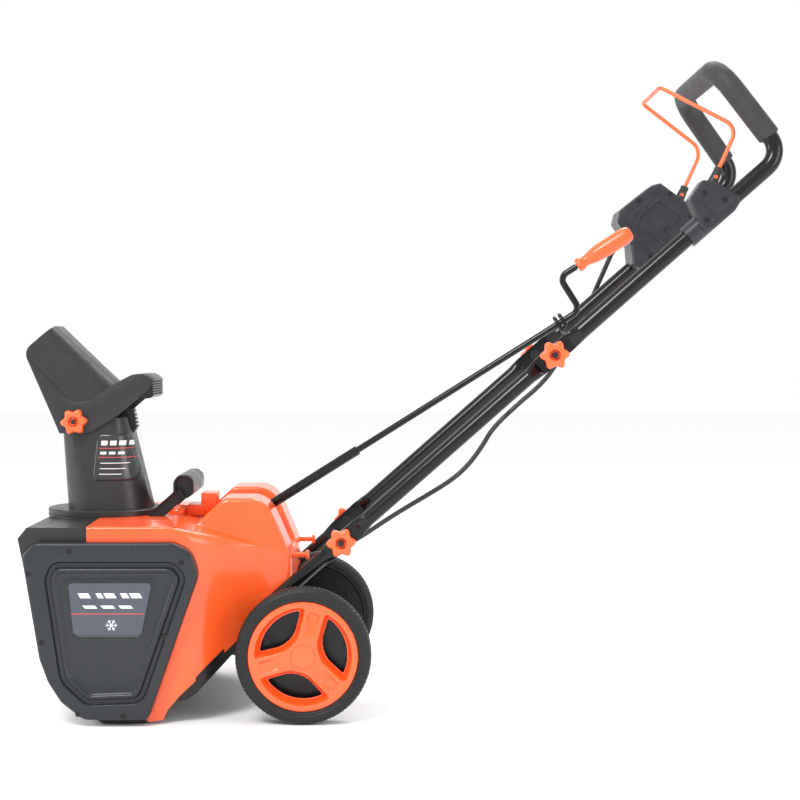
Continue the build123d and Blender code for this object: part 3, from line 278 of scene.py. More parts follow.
def cut(piece, cutters):
    """Takes the cutters away from a piece and removes them."""
    for tool in cutters:
        step = piece.modifiers.new("cut", "BOOLEAN")
        step.operation = "DIFFERENCE"
        step.solver = "EXACT"
        step.object = tool
    apply_modifiers(piece)
    for tool in cutters:
        bpy.data.objects.remove(tool)


def apply_modifiers(piece):
    """Bakes a piece's modifiers into its mesh."""
    bpy.context.view_layer.update()
    shown = piece.evaluated_get(bpy.context.evaluated_depsgraph_get())
    mesh = bpy.data.meshes.new_from_object(shown)
    old = piece.data
    piece.modifiers.clear()
    piece.data = mesh
    bpy.data.meshes.remove(old)


def normals_out(piece):
    """Makes a piece's faces look outwards."""
    work = bmesh.new()
    work.from_mesh(piece.data)
    bmesh.ops.recalc_face_normals(work, faces=work.faces)
    work.to_mesh(piece.data)
    work.free()


def thicken(piece, thickness):
    """Gives a skin its thickness in millimetres, inwards."""
    step = piece.modifiers.new("skin", "SOLIDIFY")
    step.thickness = thickness * MM
    step.offset = -1
    apply_modifiers(piece)


def round_cutter(name, start, axis, reach, radius):
    """A round bar to cut with."""
    return made(name, *skin(lathe_rings(start, axis, [(0, radius), (reach, radius)], 48)), "black_plastic")


def smooth_by_angle(piece, degrees):
    """Smooth shading with edges sharper than this kept crisp."""
    limit = radians(degrees)
    mesh = piece.data
    mesh.polygons.foreach_set("use_smooth", [True] * len(mesh.polygons))
    work = bmesh.new()
    work.from_mesh(mesh)
    for edge in work.edges:
        edge.smooth = len(edge.link_faces) != 2 or edge.calc_face_angle(0.0) < limit
    work.to_mesh(mesh)
    work.free()


def outward(faces, flip):
    """The faces as they are, or turned over."""
    return [face[::-1] for face in faces] if flip else faces


def settle(piece, node, degrees):
    """Replaced node, body and shading of a finished piece."""
    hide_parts(node)
    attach(piece, BODY_OF[node])
    smooth_by_angle(piece, degrees)


def finish_piece(piece, node, degrees):
    """The same, with the piece's faces made to look outwards first."""
    normals_out(piece)
    settle(piece, node, degrees)


# ---------------------------------------------------------------- control cable

CABLE_RADIUS = 4 * MM
CABLE_UPPER = [
    at(-507, -160, 728), at(-497, -176, 700), at(-484, -187, 668), at(-467, -189, 628), at(-446, -188, 588),
    at(-424, -187, 548), at(-400, -186, 508), at(-376, -184, 482), at(-350, -181, 461), at(-326, -178, 439),
]
CABLE_LOWER = [
    at(-326, -178, 439), at(-302, -175, 417), at(-284, -172, 386), at(-262, -168, 356), at(-236, -162, 332),
    at(-200, -152, 310), at(-160, -138, 288), at(-118, -118, 264), at(-80, -98, 240), at(-42, -80, 222),
    at(-8, -66, 215), at(24, -60, 214),
]


def cable(name, points, node):
    """One half of the control cable: a round tube along a smooth path through its points."""
    path = spline(points, 10)
    rings = tube_rings(path, [CABLE_RADIUS] * len(path), 16)
    piece = made(name, *skin(rings), "cable_jacket", replaces=[node])
    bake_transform(piece)


cable("control_cable_upper", CABLE_UPPER,
      "cable_upper")
cable("control_cable_lower", CABLE_LOWER,
      "cable_lower")


# ---------------------------------------------------------------- orange shroud

SHROUD_REAR, SHROUD_FRONT = 21.2, 316.0
DOME_IN, DOME_OUT = 33.0, 131.4
CHANNEL_HALF, CHANNEL_FLOOR, CHANNEL_END = 16.0, 259.5, 166.0
SHROUD_SKIN = 3.0 * 0.97  # the part's 3 mm wall, slightly thinned
CROWN = [(21, 239), (128, 274), (195, 291), (330, 291)]
BELLY = [(21, 197), (102, 113), (180, 42), (199, 20), (205, 6), (226, 3), (232, 10), (330, 10)]
FILLET_SHARE = 0.48  # the most of its shorter side that a fillet may take
DOME = [(15, 222), (21, 234), (52, 306), (62, 317), (76, 324), (124, 324), (180, 272), (214, 240)]


def level(table, x):
    """Height of a broken line at x."""
    for (x0, z0), (x1, z1) in zip(table, table[1:]):
        if x <= x1:
            return z0 + (z1 - z0) * max(0.0, x - x0) / (x1 - x0)
    return table[-1][1]


def eased(table, x, reach):
    """The same broken line with its corners rounded off."""
    return sum(level(table, x + reach * step / 3) for step in range(-3, 4)) / 7


def smooth_top(a, b, soft):
    """The higher of two heights, with a fillet where they meet."""
    h = max(soft - abs(a - b), 0.0) / soft
    return max(a, b) + h * h * soft / 4


def half_width(x):
    """Half the shroud's width: parallel beside the housing, drawn in between the wheels."""
    t = min(1.0, max(0.0, (x - 54) / 132))
    return 131.8 + 76.1 * t * t * (3 - 2 * t)


def rounded_run(points, radii, counts, bend=7):
    """A broken line with rounded corners and divided runs, always with the same number of points."""
    points = [Vector(p) for p in points]
    found, last = [], points[0]
    for index in range(1, len(points) - 1):
        before, corner, after = points[index - 1 : index + 2]
        arrive, leave = (corner - before), (after - corner)
        shortest = min(arrive.length, leave.length)
        arrive, leave = arrive.normalized(), leave.normalized()
        turn = max(1e-4, arrive.angle(leave, 0.0))
        reach = min(radii[index - 1] * tan(turn / 2), FILLET_SHARE * shortest)
        start, end = corner - arrive * reach, corner + leave * reach
        found += [last.lerp(start, step / counts[index - 1]) for step in range(counts[index - 1])]
        for step in range(bend):
            t = step / bend
            found.append(start * (1 - t) ** 2 + corner * 2 * t * (1 - t) + end * t * t)
        last = end
    found += [last.lerp(points[-1], step / counts[-1]) for step in range(counts[-1] + 1)]
    return found


def shroud_ring(x, pull):
    """The shroud's section at x, from the near lower edge over the top to the far one, drawn in by pull."""
    wide = half_width(x) - pull
    crown = eased(CROWN, x, 9) - pull
    foot = min(level(BELLY, x), crown - 24)
    blend = min(1.0, max(0.0, (x - 160) / 34))
    shoulder = 16.0 - 11.5 * blend
    floor = min(crown, CHANNEL_FLOOR - pull + 4 * max(0.0, x - CHANNEL_END))
    outline, radii = [(wide, foot)], []
    for side, lift in ((1, 0.0), (-1, 4.0)):
        top = max(eased(DOME, x, 6) + lift - pull, crown + 0.3)
        half = [
            ((wide, crown - 1.6), shoulder), ((DOME_OUT + 0.4 - pull * 0.9, crown), 7.0),
            ((DOME_OUT - 2.5 - pull, top), 8.5), ((DOME_IN + 2.5, top), 6.0), ((DOME_IN - 0.5, crown), 5.0),
            ((CHANNEL_HALF + 1.5, crown), 3.5), ((CHANNEL_HALF, floor), 4.0),
        ]
        if side < 0:
            half.reverse()
        outline += [(side * y, z) for (y, z), _ in half]
        radii += [radius for _, radius in half]
    outline.append((-wide, foot))
    runs = [34, 8, 8, 16, 7, 3, 4, 5, 4, 3, 7, 16, 8, 8, 34]
    return [at(x, y, z) for y, z in rounded_run(outline, radii, runs)]


def cutter(name, outline, y_from, y_to):
    """A solid to cut with: an outline in X and Z, thick along Y."""
    rings = [[at(x, y, z) for x, z in outline] for y in (y_from, y_to)]
    return made(name, *skin(rings), "black_plastic")


def shroud():
    """The orange shroud: domes, crank channel, rounded shoulders and openings."""
    bend = 7.0
    turns = [pi / 2 * step / 7 for step in range(7)]
    rings = [shroud_ring(SHROUD_REAR + bend * (1 - cos(a)), bend * (1 - sin(a))) for a in turns]
    x = SHROUD_REAR + bend
    while x < SHROUD_FRONT:
        rings.append(shroud_ring(x, 0.0))
        x += 2.6
    rings.append(shroud_ring(SHROUD_FRONT, 0.0))
    vertices, faces = skin(rings, closed=False, caps=False)
    faces.append(tuple(range(len(rings[0]))))
    piece = made("motor_shroud", vertices, faces, "orange_plastic")
    thicken(piece, SHROUD_SKIN)
    behind = [(330, 264), (206, 264), (168, 226), (240, -20), (330, -20)]
    tools = [cutter("cut_near", behind, 200, 214), cutter("cut_far", behind, -214, -200)]
    tools.append(cutter("cut_belly", [(189, 60), (340, 60), (340, -20), (242, -20)], -204.5, 204.5))
    tools.append(round_cutter("cut_chute", at(322, 0, 270), (0, 0, 1), 60 * MM, 91.5 * MM))
    tools.append(round_cutter("cut_rod", at(150, 0, 276), (1, 0, 0), 40 * MM, 5.5 * MM))
    tools.append(round_cutter("cut_cable", at(0, -60, 214), (1, 0, 0), 45 * MM, 6 * MM))
    cut(piece, tools)
    settle(piece, "motor_cover", 35)


shroud()

# ---------------------------------------------------------------- side covers

COVER_EDGE = [
    ((388, 268), 15), ((188, 268), 34), ((162, 256), 30), ((150.5, 222), 34), ((225, 10), 9),
    ((318, 10), 26), ((351, 36.5), 30), ((369.5, 65.6), 30), ((382, 99), 40), ((407, 250), 15),
]
RIDGE_EDGE = [
    ((364, 241), 27), ((186, 241), 24), ((167, 219), 26), ((232, 34), 26), ((315, 31), 30),
    ((352, 66), 34), ((374, 215), 28),
]
LABEL_EDGE = [((341, 211), 8), ((217, 211), 8), ((233, 132.5), 9), ((333, 132.5), 9)]
COVER_HUB = (277.0, 165.0)
LABEL_PLATE = finish("label_plate", (0.062, 0.070, 0.092), 0.30, mottle=0.06, grain=600, depth=0.01)
LABEL_PRINT = finish("label_print", (0.86, 0.87, 0.88), 0.36, mottle=0.03, grain=600, depth=0.01)
LABEL_RED = finish("label_red", (0.72, 0.06, 0.05), 0.36, mottle=0.03, grain=600, depth=0.01)
STICKER = 0.12
COVER_SCREWS = [(336.6, 257), (175, 240.5), (395.5, 224), (377.5, 124), (201, 131), (326, 19), (260, 17)]


def inset_loop(loop, inset):
    """An outline with every side moved inwards, its corner radii shrunk to suit."""
    pairs = list(zip(loop, loop[1:] + loop[:1]))
    turn = 1 if sum(p[0] * q[1] - q[0] * p[1] for (p, _), (q, _) in pairs) > 0 else -1
    sides = []
    for (p, _), (q, _) in pairs:
        run = Vector((q[0] - p[0], q[1] - p[1])).normalized()
        sides.append((Vector(p) + Vector((-run.y, run.x)) * inset * turn, run))
    found = []
    for (_, radius), (p, d), (q, e) in zip(loop, sides[-1:] + sides[:-1], sides):
        along = (q - p).cross(e) / d.cross(e)
        found.append((p + d * along, max(1.5, radius - inset)))
    return found


def rounded_loop(loop, bend=10):
    """The outline's points with its corners rounded."""
    found = []
    for index, (corner, radius) in enumerate(loop):
        corner = Vector(corner)
        before, after = Vector(loop[index - 1][0]), Vector(loop[(index + 1) % len(loop)][0])
        arrive, leave = corner - before, after - corner
        shortest = min(arrive.length, leave.length)
        turn = arrive.angle(leave)
        reach = min(radius * tan(turn / 2), FILLET_SHARE * shortest)
        start, end = corner - arrive.normalized() * reach, corner + leave.normalized() * reach
        for step in range(bend + 1):
            t = step / bend
            found.append(start * (1 - t) ** 2 + corner * 2 * t * (1 - t) + end * t * t)
    return found


def spread(points, hub, count):
    """The outline's crossings with evenly turned rays from a hub."""
    hub, found = Vector(hub), []
    for step in range(count):
        ray = Vector((cos(2 * pi * step / count), sin(2 * pi * step / count)))
        for p, q in zip(points, points[1:] + points[:1]):
            run = q - p
            across = ray.cross(run)
            if abs(across) < 1e-9:
                continue
            far, share = (p - hub).cross(run) / across, (p - hub).cross(ray) / across
            if far > 0 and -1e-6 <= share <= 1 + 1e-6:
                found.append(hub + ray * far)
                break
    return found


def sunk_plate(profile, side, count):
    """Rings at their insets and heights, from the hidden inner wall over the face to the middle."""
    rings = []
    for loop, inset, y in profile:
        points = spread(rounded_loop(inset_loop(loop, inset)), COVER_HUB, count)
        rings.append([at(p.x, side * y, p.y) for p in points])
    vertices, faces = skin(rings)
    return vertices, faces if side > 0 else [face[::-1] for face in faces]


def side_cover(side, which):
    """Moulded cover: bevelled flange, sunk channel, rounded ridge, flat field and a recess for the label."""
    edge, ridge, label = COVER_EDGE, RIDGE_EDGE, LABEL_EDGE
    profile = [
        (edge, 2.6, 221.0), (edge, 2.6, 205.6), (edge, 0.0, 205.6), (edge, 0.0, 225.6), (edge, 0.15, 226.4),
        (edge, 0.7, 227.3), (edge, 2.2, 228.6), (edge, 2.9, 228.95), (edge, 3.6, 229.0), (ridge, -1.6, 229.0),
        (ridge, -0.6, 228.9), (ridge, 0.2, 228.3), (ridge, 1.2, 226.0), (ridge, 1.8, 225.0),
        (ridge, 2.8, 224.5), (ridge, 6.6, 224.5), (ridge, 7.6, 224.9), (ridge, 8.3, 226.2),
        (ridge, 9.5, 230.0), (ridge, 10.4, 231.2), (ridge, 11.6, 231.8), (ridge, 12.8, 232.0),
        (ridge, 14.2, 231.5), (ridge, 15.6, 229.8), (ridge, 17.0, 228.4), (ridge, 18.4, 228.0),
        (label, -4.2, 228.0), (label, -3.4, 228.3), (label, -2.2, 228.4), (label, -1.2, 228.2),
        (label, 0.0, 226.8), (label, 0.8, 226.5), (label, 14, 226.5), (label, 30, 226.5),
    ]
    vertices, faces = sunk_plate(profile, side, 540)
    piece = made("cover_" + which, vertices, faces, "cover_plastic")
    axis = (0, side, 0)
    cut(piece, [round_cutter("hole", at(x, side * 225, z), axis, 12 * MM, 4.3 * MM) for x, z in COVER_SCREWS])
    settle(piece, "side_cover_" + which, 32)


def printed(name, outlines, y, body, material, slot, thick=STICKER):
    """Flat printed shapes on a face that looks sideways: each outline in X and Z, wound as it is read."""
    vertices, faces = [], []
    for outline in outlines:
        start, count = len(vertices), len(outline)
        inner = y - thick if y > 0 else y + thick
        vertices += [at(x, inner, z) for x, z in outline] + [at(x, y, z) for x, z in outline]
        faces.append(tuple(range(start, start + count)))
        faces.append(tuple(reversed(range(start + count, start + 2 * count))))
        faces += [(start + k, start + k + count, start + (k + 1) % count + count, start + (k + 1) % count)
                  for k in range(count)]
    piece = made(name, vertices, faces, slot, body, material=material, smooth=False)
    normals_out(piece)


def bar(x, z, long, high, lean=0.0):
    """A bar leaning like print; x and z are its lower rear corner."""
    return [(x, z), (x + long, z), (x + long - lean, z + high), (x - lean, z + high)]


def cover_label(side, which):
    """Blue-grey plate with light bars, a fine red line and a plain snowflake."""
    plate = [tuple(p) for p in rounded_loop(inset_loop(LABEL_EDGE, 1.2))]
    printed("label_" + which, [plate], side * 226.9, "chassis", LABEL_PLATE, "cover_plastic", 0.6)
    lean = -4.0 * side
    marks = []
    start = 232.0 if side > 0 else 234.0
    for step, long in enumerate((17, 11, 17, 9, 17)):
        marks.append(bar(start + 18.6 * step, 188, long * 0.9, 7.0, lean))
    for step in range(3):
        marks.append(bar(245 + 26 * step, 173, 18, 4.2, lean))
    centre = Vector((277, 148.5))
    for step in range(6):
        run = Vector((cos(pi * step / 3), sin(pi * step / 3)))
        aside = Vector((-run.y, run.x)) * 0.55
        tip = centre + run * 8.5
        marks.append([tuple(centre + aside), tuple(tip + aside), tuple(tip - aside), tuple(centre - aside)])
        for turn in (-1, 1):
            branch = Vector((cos(pi * step / 3 + turn * 0.9), sin(pi * step / 3 + turn * 0.9)))
            foot = centre + run * 4.6
            thin = Vector((-branch.y, branch.x)) * 0.45
            end = foot + branch * 3
            marks.append([tuple(p) for p in (foot + thin, end + thin, end - thin, foot - thin)])
    printed("label_marks_" + which, marks, side * 227.05, "chassis", LABEL_PRINT, "cover_plastic")
    printed("label_line_" + which, [bar(229.5, 164.5, 106, 1.1)], side * 227.05, "chassis", LABEL_RED,
        "cover_plastic")


for side, which in SIDES:
    side_cover(side, which)
    cover_label(side, which)

# ---------------------------------------------------------------- wheels

WHEEL_Z, WHEEL_IN, WHEEL_OUT = 100.0, 174.0, 220.0
RIM_R, WINDOW_R, HUB_R = 80.8, 72.5, 22.0
FACE_Y = 216.5
SPOKE_HALF, SPOKE_FLARE = 13.0, 0.0012
SPOKES = [radians(75 + 120 * step) for step in range(3)]


def wheel_point(side, r, angle, y):
    """A point on a wheel: angle is counted upwards from the rear."""
    return at(-r * cos(angle), side * y, WHEEL_Z + r * sin(angle))


def window_depth(r, angle):
    """How far inside a window of the rim a point is; 0 or less on solid plastic."""
    nearest = None
    for spoke in SPOKES:
        along, aside = r * cos(angle - spoke), abs(r * sin(angle - spoke))
        if along > 0:
            gap = aside - SPOKE_HALF - SPOKE_FLARE * max(0.0, along - 40) ** 2
            nearest = gap if nearest is None else min(nearest, gap)
    nearest = 99.0 if nearest is None else nearest
    return -smooth_top(smooth_top(r - WINDOW_R, -nearest, 5), HUB_R - r, 9)


def recess(r, angle):
    """Depth of the sunk middle of each spoke."""
    for spoke in SPOKES:
        along, aside = r * cos(angle - spoke), abs(r * sin(angle - spoke))
        if 30 < along < 66 and aside < 9:
            ends = min(1.0, (66 - along) / 3.0) * min(1.0, (along - 30) / 24)
            return 3.2 * ends * min(1.0, (9 - aside) / 2.4)
    return 0.0


def wheel_rings(side, profile, count):
    """Rings of a part of the wheel: profile is (Y, radius)."""
    return [[wheel_point(side, r, 2 * pi * s / count, y) for s in range(count)] for y, r in profile]


def rim(side, which):
    """Moulded rim: flat ring, three spokes with sunk middles, drafted window walls and a barrel behind."""
    turns, bore = 420, 17.9
    radii = [bore + (RIM_R - bore) * step / 62 for step in range(63)]
    vertices, keep = [], []
    for r in radii:
        edge = 1.2 * max(0.0, (r - 79.4) / 1.4) ** 2
        for step in range(turns):
            angle = 2 * pi * step / turns
            inside = window_depth(r, angle)
            wall = 0.0 if inside <= 0 else (inside * 0.35 if inside < 1.2 else 0.42 + (inside - 1.2) * 3.4)
            depth = min(wall, 19.0) + recess(r, angle) * (inside <= 0) + edge
            vertices.append(wheel_point(side, r, angle, FACE_Y - depth))
            keep.append(inside < 7.2)
    faces = []
    for row in range(len(radii) - 1):
        for step in range(turns):
            a, b = row * turns + step, row * turns + (step + 1) % turns
            corners = (a, b, b + turns, a + turns)
            if any(keep[c] for c in corners):
                faces.append(corners if side < 0 else corners[::-1])
    barrel = [(215.3, RIM_R), (178.5, RIM_R), (178, 79.5), (178, 77), (190, 76.6), (208, 75.5)]
    hub = [(213, bore), (213, 5.2), (170, 5.2), (170, 18.9), (200, 18.9)]
    for profile, count in ((barrel, turns), (hub, 48)):
        more_vertices, more_faces = skin(wheel_rings(side, profile, count), caps=False)
        start = len(vertices)
        vertices += more_vertices
        faces += [tuple(start + c for c in face) for face in outward(more_faces, side < 0)]
    piece = made(f"rim_{which}_face", vertices, faces, "orange_plastic", "wheel_" + which, ["rim_" + which])
    smooth_by_angle(piece, 40)


def hub_cap(side, which):
    """Round cap with a raised edge and a shallow ring."""
    profile = [
        (213.2, 17.7), (216.9, 17.7), (217.6, 17.0), (217.6, 15.6), (217.0, 15.0), (217.3, 9.0),
        (217.1, 8.2), (217.1, 6.4), (217.3, 5.6), (217.4, 0.3),
    ]
    vertices, faces = skin(wheel_rings(side, profile, 64))
    piece = made("cap_" + which, vertices, outward(faces, side < 0), "knob_plastic", "wheel_" + which,
                 ["hub_cap_" + which])
    smooth_by_angle(piece, 30)


def tyre(side, which):
    """Rubber tyre: smooth side walls with a bead line, and three rows of small staggered lugs."""
    turns, lugs = 720, 90
    mid = (WHEEL_IN + WHEEL_OUT) / 2
    walls = [(3.5, 81.0), (1.6, 82.4), (1.0, 84.5), (1.4, 86.0), (0.6, 87.0), (0.0, 90.0), (0.5, 93.5),
             (1.5, 96.0), (3.2, 97.7), (4.0, 98.2)]
    tread = [(4.4, 98.9), (8, 99.4), (12.6, 99.7), (13.4, 99.7), (16, 99.9), (18.6, 99.9), (19.4, 99.9),
             (23, 100.0)]
    half = [(y, r, False) for y, r in walls] + [(y, r, True) for y, r in tread]
    profile = [(WHEEL_IN + y, r, lug) for y, r, lug in half]
    profile += [(WHEEL_OUT - y, r, lug) for y, r, lug in half[-2::-1]]
    rings = []
    for y, r, lug in profile:
        row = 0.5 if abs(y - mid) < 10 else 0.0
        slot_ring = abs(abs(y - mid) - 10) < 0.5
        ring = []
        for step in range(turns):
            share = (lugs * step / turns + row + 0.012 * (y - mid) * (1 if y > mid else -1)) % 1.0
            sunk = 1.9 if lug and (share < 0.3 or slot_ring) else 0.0
            ring.append(wheel_point(side, r - sunk, 2 * pi * step / turns, y))
        rings.append(ring)
    vertices, faces = skin(rings + [rings[0]], caps=False)
    piece = made("tread_" + which, vertices, outward(faces, side < 0), "tyre_rubber", "wheel_" + which,
                 ["tyre_" + which])
    smooth_by_angle(piece, 38)


for side, which in SIDES:
    rim(side, which)
    hub_cap(side, which)
    tyre(side, which)


# ---------------------------------------------------------------- foam grip

HANDLE_BEND = (-708.1, 166.0, 837.8)
HANDLE_CORNER = (-613.0, 150.0, 966.0)
MIRRORED = Vector((1, -1, 1))

def filleted(points, radii, gap):
    """Points along straight runs joined by arcs, about gap apart."""
    points = [Vector(p) for p in points]
    found, last = [], points[0]
    for before, corner, after, radius in zip(points, points[1:], points[2:], radii):
        arrive, leave = (corner - before).normalized(), (after - corner).normalized()
        turn = arrive.angle(leave)
        start, end = corner - arrive * radius * tan(turn / 2), corner + leave * radius * tan(turn / 2)
        found += stepped(last, start, gap)
        centre = start + (leave - arrive * arrive.dot(leave)).normalized() * radius
        count = max(3, int(radius * turn / gap))
        for step in range(count):
            angle = turn * step / count
            across = (leave - arrive * arrive.dot(leave)).normalized()
            found.append(centre + (arrive * sin(angle) - across * cos(angle)) * radius)
        last = end
    return found + stepped(last, points[-1], gap) + [points[-1]]


def stepped(start, end, gap):
    """Points from start up to, but not at, end."""
    count = max(1, int((end - start).length / gap))
    return [start.lerp(end, step / count) for step in range(count)]


def foam_grip():
    """Foam sleeve over the top of the handle, rolled in at its ends and faintly creased where it bends."""
    bend, corner = at(*HANDLE_BEND), at(*HANDLE_CORNER)
    foot = bend + (corner - bend).normalized() * 31 * MM
    points = [foot, corner, corner * MIRRORED, foot * MIRRORED]
    path = filleted(points, [44 * MM, 44 * MM], 2.2 * MM)
    total, run, radii = length_of(path), 0.0, []
    for index, point in enumerate(path):
        run += (point - path[index - 1]).length if index else 0.0
        nearest = min(run, total - run)
        lip = min(1.0, nearest / (5 * MM))
        radius = 13.2 + 3.6 * sqrt(max(0.0, 1 - (1 - lip) ** 2))
        curl = max(0.0, 1 - abs(nearest - 118 * MM) / (45 * MM))
        radii.append((radius - 0.12 * curl * (1 + sin(run / (2.6 * MM)))) * MM)
    piece = made("grip_foam", *skin(tube_rings(path, radii, 40)), "foam", "top_handle", ["handle_foam"])


foam_grip()


# ---------------------------------------------------------------- bail boots


def bail_boots():
    """Tapered sleeves round the bail's legs, each with an orange peg in its side."""
    leg = (at(-643, 0, 871) - at(-600, 0, 778)).normalized()
    for side, which in SIDES:
        foot = at(-600, side * 142, 778)
        profile = [(11, 3.3), (11, 8.3), (12, 8.8), (15, 8.9), (17, 8.3), (19, 8.2), (40, 6.4),
                   (41.5, 6.9), (44.6, 6.8), (45.6, 6.2), (46, 3.3)]
        rings = lathe_rings(foot, leg, in_mm(profile), 36)
        made("bail_boot_" + which, *skin(rings), "soft_rubber", "bail_bar", ["bail_boots"])
        peg = in_mm([(-8, 2.0), (-8, 3.0), (8, 3.0), (8.4, 2.0)])
        peg = lathe_rings(foot + leg * 30 * MM, (0, 1, 0), peg, 24)
        made("boot_peg_" + which, *skin(peg), "knob_plastic", "bail_bar")


bail_boots()


# ---------------------------------------------------------------- bail wire


def bail_wire():
    """Bent wire bar with evenly rounded bends."""
    half = [at(-600, 160, 778), at(-600, 142, 778), at(-646.5, 141, 880), at(-539, 86, 948)]
    points = half + [point * MIRRORED for point in reversed(half)]
    path = filleted(points, [radius * MM for radius in (5, 24, 15, 15, 24, 5)], 1.6 * MM)
    made("bail_wire", *skin(tube_rings(path, [3 * MM] * len(path), 20)), "orange_wire", "bail_bar", ["bail"])


bail_wire()

# ---------------------------------------------------------------- deflector hood

HOOD_HALF, HOOD_Y, HOOD_SKIN = 56.6, 58.5, 2.5
TILT = (359.5, 437.0)
MOUTH_CORNER, MOUTH_DOWN, MOUTH_UP = Vector((439, 546)), Vector((-0.395, -0.919)), Vector((-0.756, 0.655))
HOOD_PLATE = [
    ((433.6, 536), 3), ((372.5, 474), 12), ((361, 467.5), 14), ((347, 467.5), 16), ((337, 470), 20),
    ((300, 495), 30), ((272, 509.5), 12), ((258.7, 511), 8), ((246, 508), 6), ((240, 498), 5),
    ((246, 486), 8), ((262, 474), 16), ((294, 446), 24), ((329, 424), 20), ((345, 418.3), 10),
    ((384, 418.3), 5),
]


def rounded_mouth(point):
    """Draws a point near the mouth's lower corner in, so that the corner is round."""
    soft = 13.0
    gap = Vector(point) - MOUTH_CORNER
    whole = MOUTH_DOWN.x * MOUTH_UP.y - MOUTH_DOWN.y * MOUTH_UP.x
    down = (gap.x * MOUTH_UP.y - gap.y * MOUTH_UP.x) / whole
    up = (MOUTH_DOWN.x * gap.y - MOUTH_DOWN.y * gap.x) / whole
    if down >= soft or up >= soft:
        return Vector(point)
    a, b = 1 - down / soft, 1 - up / soft
    shrink = min(1.0, 1 / max(1e-6, hypot(a, b)))
    return MOUTH_CORNER + MOUTH_DOWN * soft * (1 - a * shrink) + MOUTH_UP * soft * (1 - b * shrink)


def hood():
    """Half-round hood open to the front, with side plates that stand proud, and a ribbed grip behind."""
    stations = [((384, 418.3), (284.5, 468)), ((385.5, 421.5), (286.8, 477)), ((387, 425), (291, 486))]
    for step in range(25):
        t = step / 24
        stations.append(((388.2 + 50.8 * t, 428.2 + 117.8 * t), (296 + 98 * t, 494 + 91 * t)))
    rings = []
    for front, back in stations:
        front, back = Vector(front), Vector(back)
        depth = (back - front).length
        loop = [(0, HOOD_HALF), (depth, HOOD_HALF), (depth, -HOOD_HALF), (0, -HOOD_HALF)]
        ring = []
        for u, y in rounded_run(loop, [min(46.0, depth * 0.86)] * 2, [16, 6, 16], 16):
            place = rounded_mouth(front + (back - front).normalized() * u)
            ring.append(at(place.x, y, place.y))
        rings.append(ring)
    vertices, faces = skin(rings, closed=False, caps=False)
    piece = made("hood_shell", vertices, faces, "housing_plastic")
    thicken(piece, HOOD_SKIN)
    cut(piece, [round_cutter("pin", at(TILT[0], -70, TILT[1]), (0, 1, 0), 140 * MM, 3.4 * MM)])
    finish_piece(piece, "deflector", 30)
    for side, which in SIDES:
        rings = []
        for inset, y in ((0.0, 53.8), (0.0, 57.5), (0.35, 58.2), (1.1, HOOD_Y)):
            loop = rounded_loop(inset_loop(HOOD_PLATE, inset), 8)
            rings.append([at(p.x, side * y, p.y) for p in loop])
        vertices, faces = skin(rings)
        plate = made("hood_plate_" + which, vertices, outward(faces, side < 0), "housing_plastic")
        cut(plate, [round_cutter("pin", at(TILT[0], side * 45, TILT[1]), (0, side, 0), 30 * MM, 3.4 * MM)])
        finish_piece(plate, "deflector", 30)
    outline = [(272, 509), (264, 510.7), (252, 510.5), (244, 506.5)]
    outline += [(238.2 + (2.2 if step % 2 else 0.0), 500.5 - 1.9 * step) for step in range(13)]
    outline += [(243, 473.5), (258, 471.2), (268, 481)]
    rings = []
    for grow, y in ((0.93, -57.9), (1.0, -56), (1.0, 56), (0.93, 57.9)):
        rings.append([at(255 + (x - 255) * grow, y, 491 + (z - 491) * grow) for x, z in outline])
    vertices, faces = skin(rings)
    grip = made("hood_grip", vertices, outward(faces, True), "black_plastic")
    finish_piece(grip, "deflector", 35)


hood()

# ---------------------------------------------------------------- star knobs


def star_knob(node, size, bore):
    """Six rounded lobes with softened edges and a sunk round middle over the bolt."""
    low, high = (Vector(corner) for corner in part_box(node))
    side = 1 if node.endswith("left") else -1
    seat = (low.y if side > 0 else -high.y) / MM
    centre_x, centre_z = (low.x + high.x) / 2, (low.z + high.z) / 2
    profile = [
        (0.2, bore, 0), (0.2, size * 0.62, 0.4), (0.2, size * 0.90, 1), (1.2, size * 0.97, 1),
        (2.6, size, 1), (11.4, size, 1), (13.2, size * 0.985, 1), (14.8, size * 0.94, 1),
        (15.9, size * 0.86, 1), (16.4, size * 0.76, 0.9), (16.6, size * 0.6, 0.5),
        (16.7, size * 0.44, 0.1), (16.3, 8.3, 0), (15.2, 7.6, 0), (9.6, 7.2, 0), (9.4, 6.6, 0),
        (9.4, bore, 0), (0.2, bore, 0),
    ]
    rings = []
    for along, radius, lobed in profile:
        ring = []
        for step in range(144):
            angle = 2 * pi * step / 144
            r = radius * (1 - 0.125 * lobed * (1 - cos(6 * angle + 0.5)) * 0.98)
            ring.append(Vector((centre_x + r * cos(angle) * MM, side * (seat + along) * MM,
                centre_z + r * sin(angle) * MM)))
        rings.append(ring)
    vertices, faces = skin(rings, caps=False)
    piece = made("star_" + node, vertices, faces, "knob_plastic")
    finish_piece(piece, node, 45)


for which in ("left", "right"):
    star_knob("deflector_knob_" + which, 20.4, 3.35)
    star_knob("lower_knob_" + which, 21.9, 4.35)
    star_knob("upper_knob_" + which, 21.9, 4.35)

# ---------------------------------------------------------------- crank grip


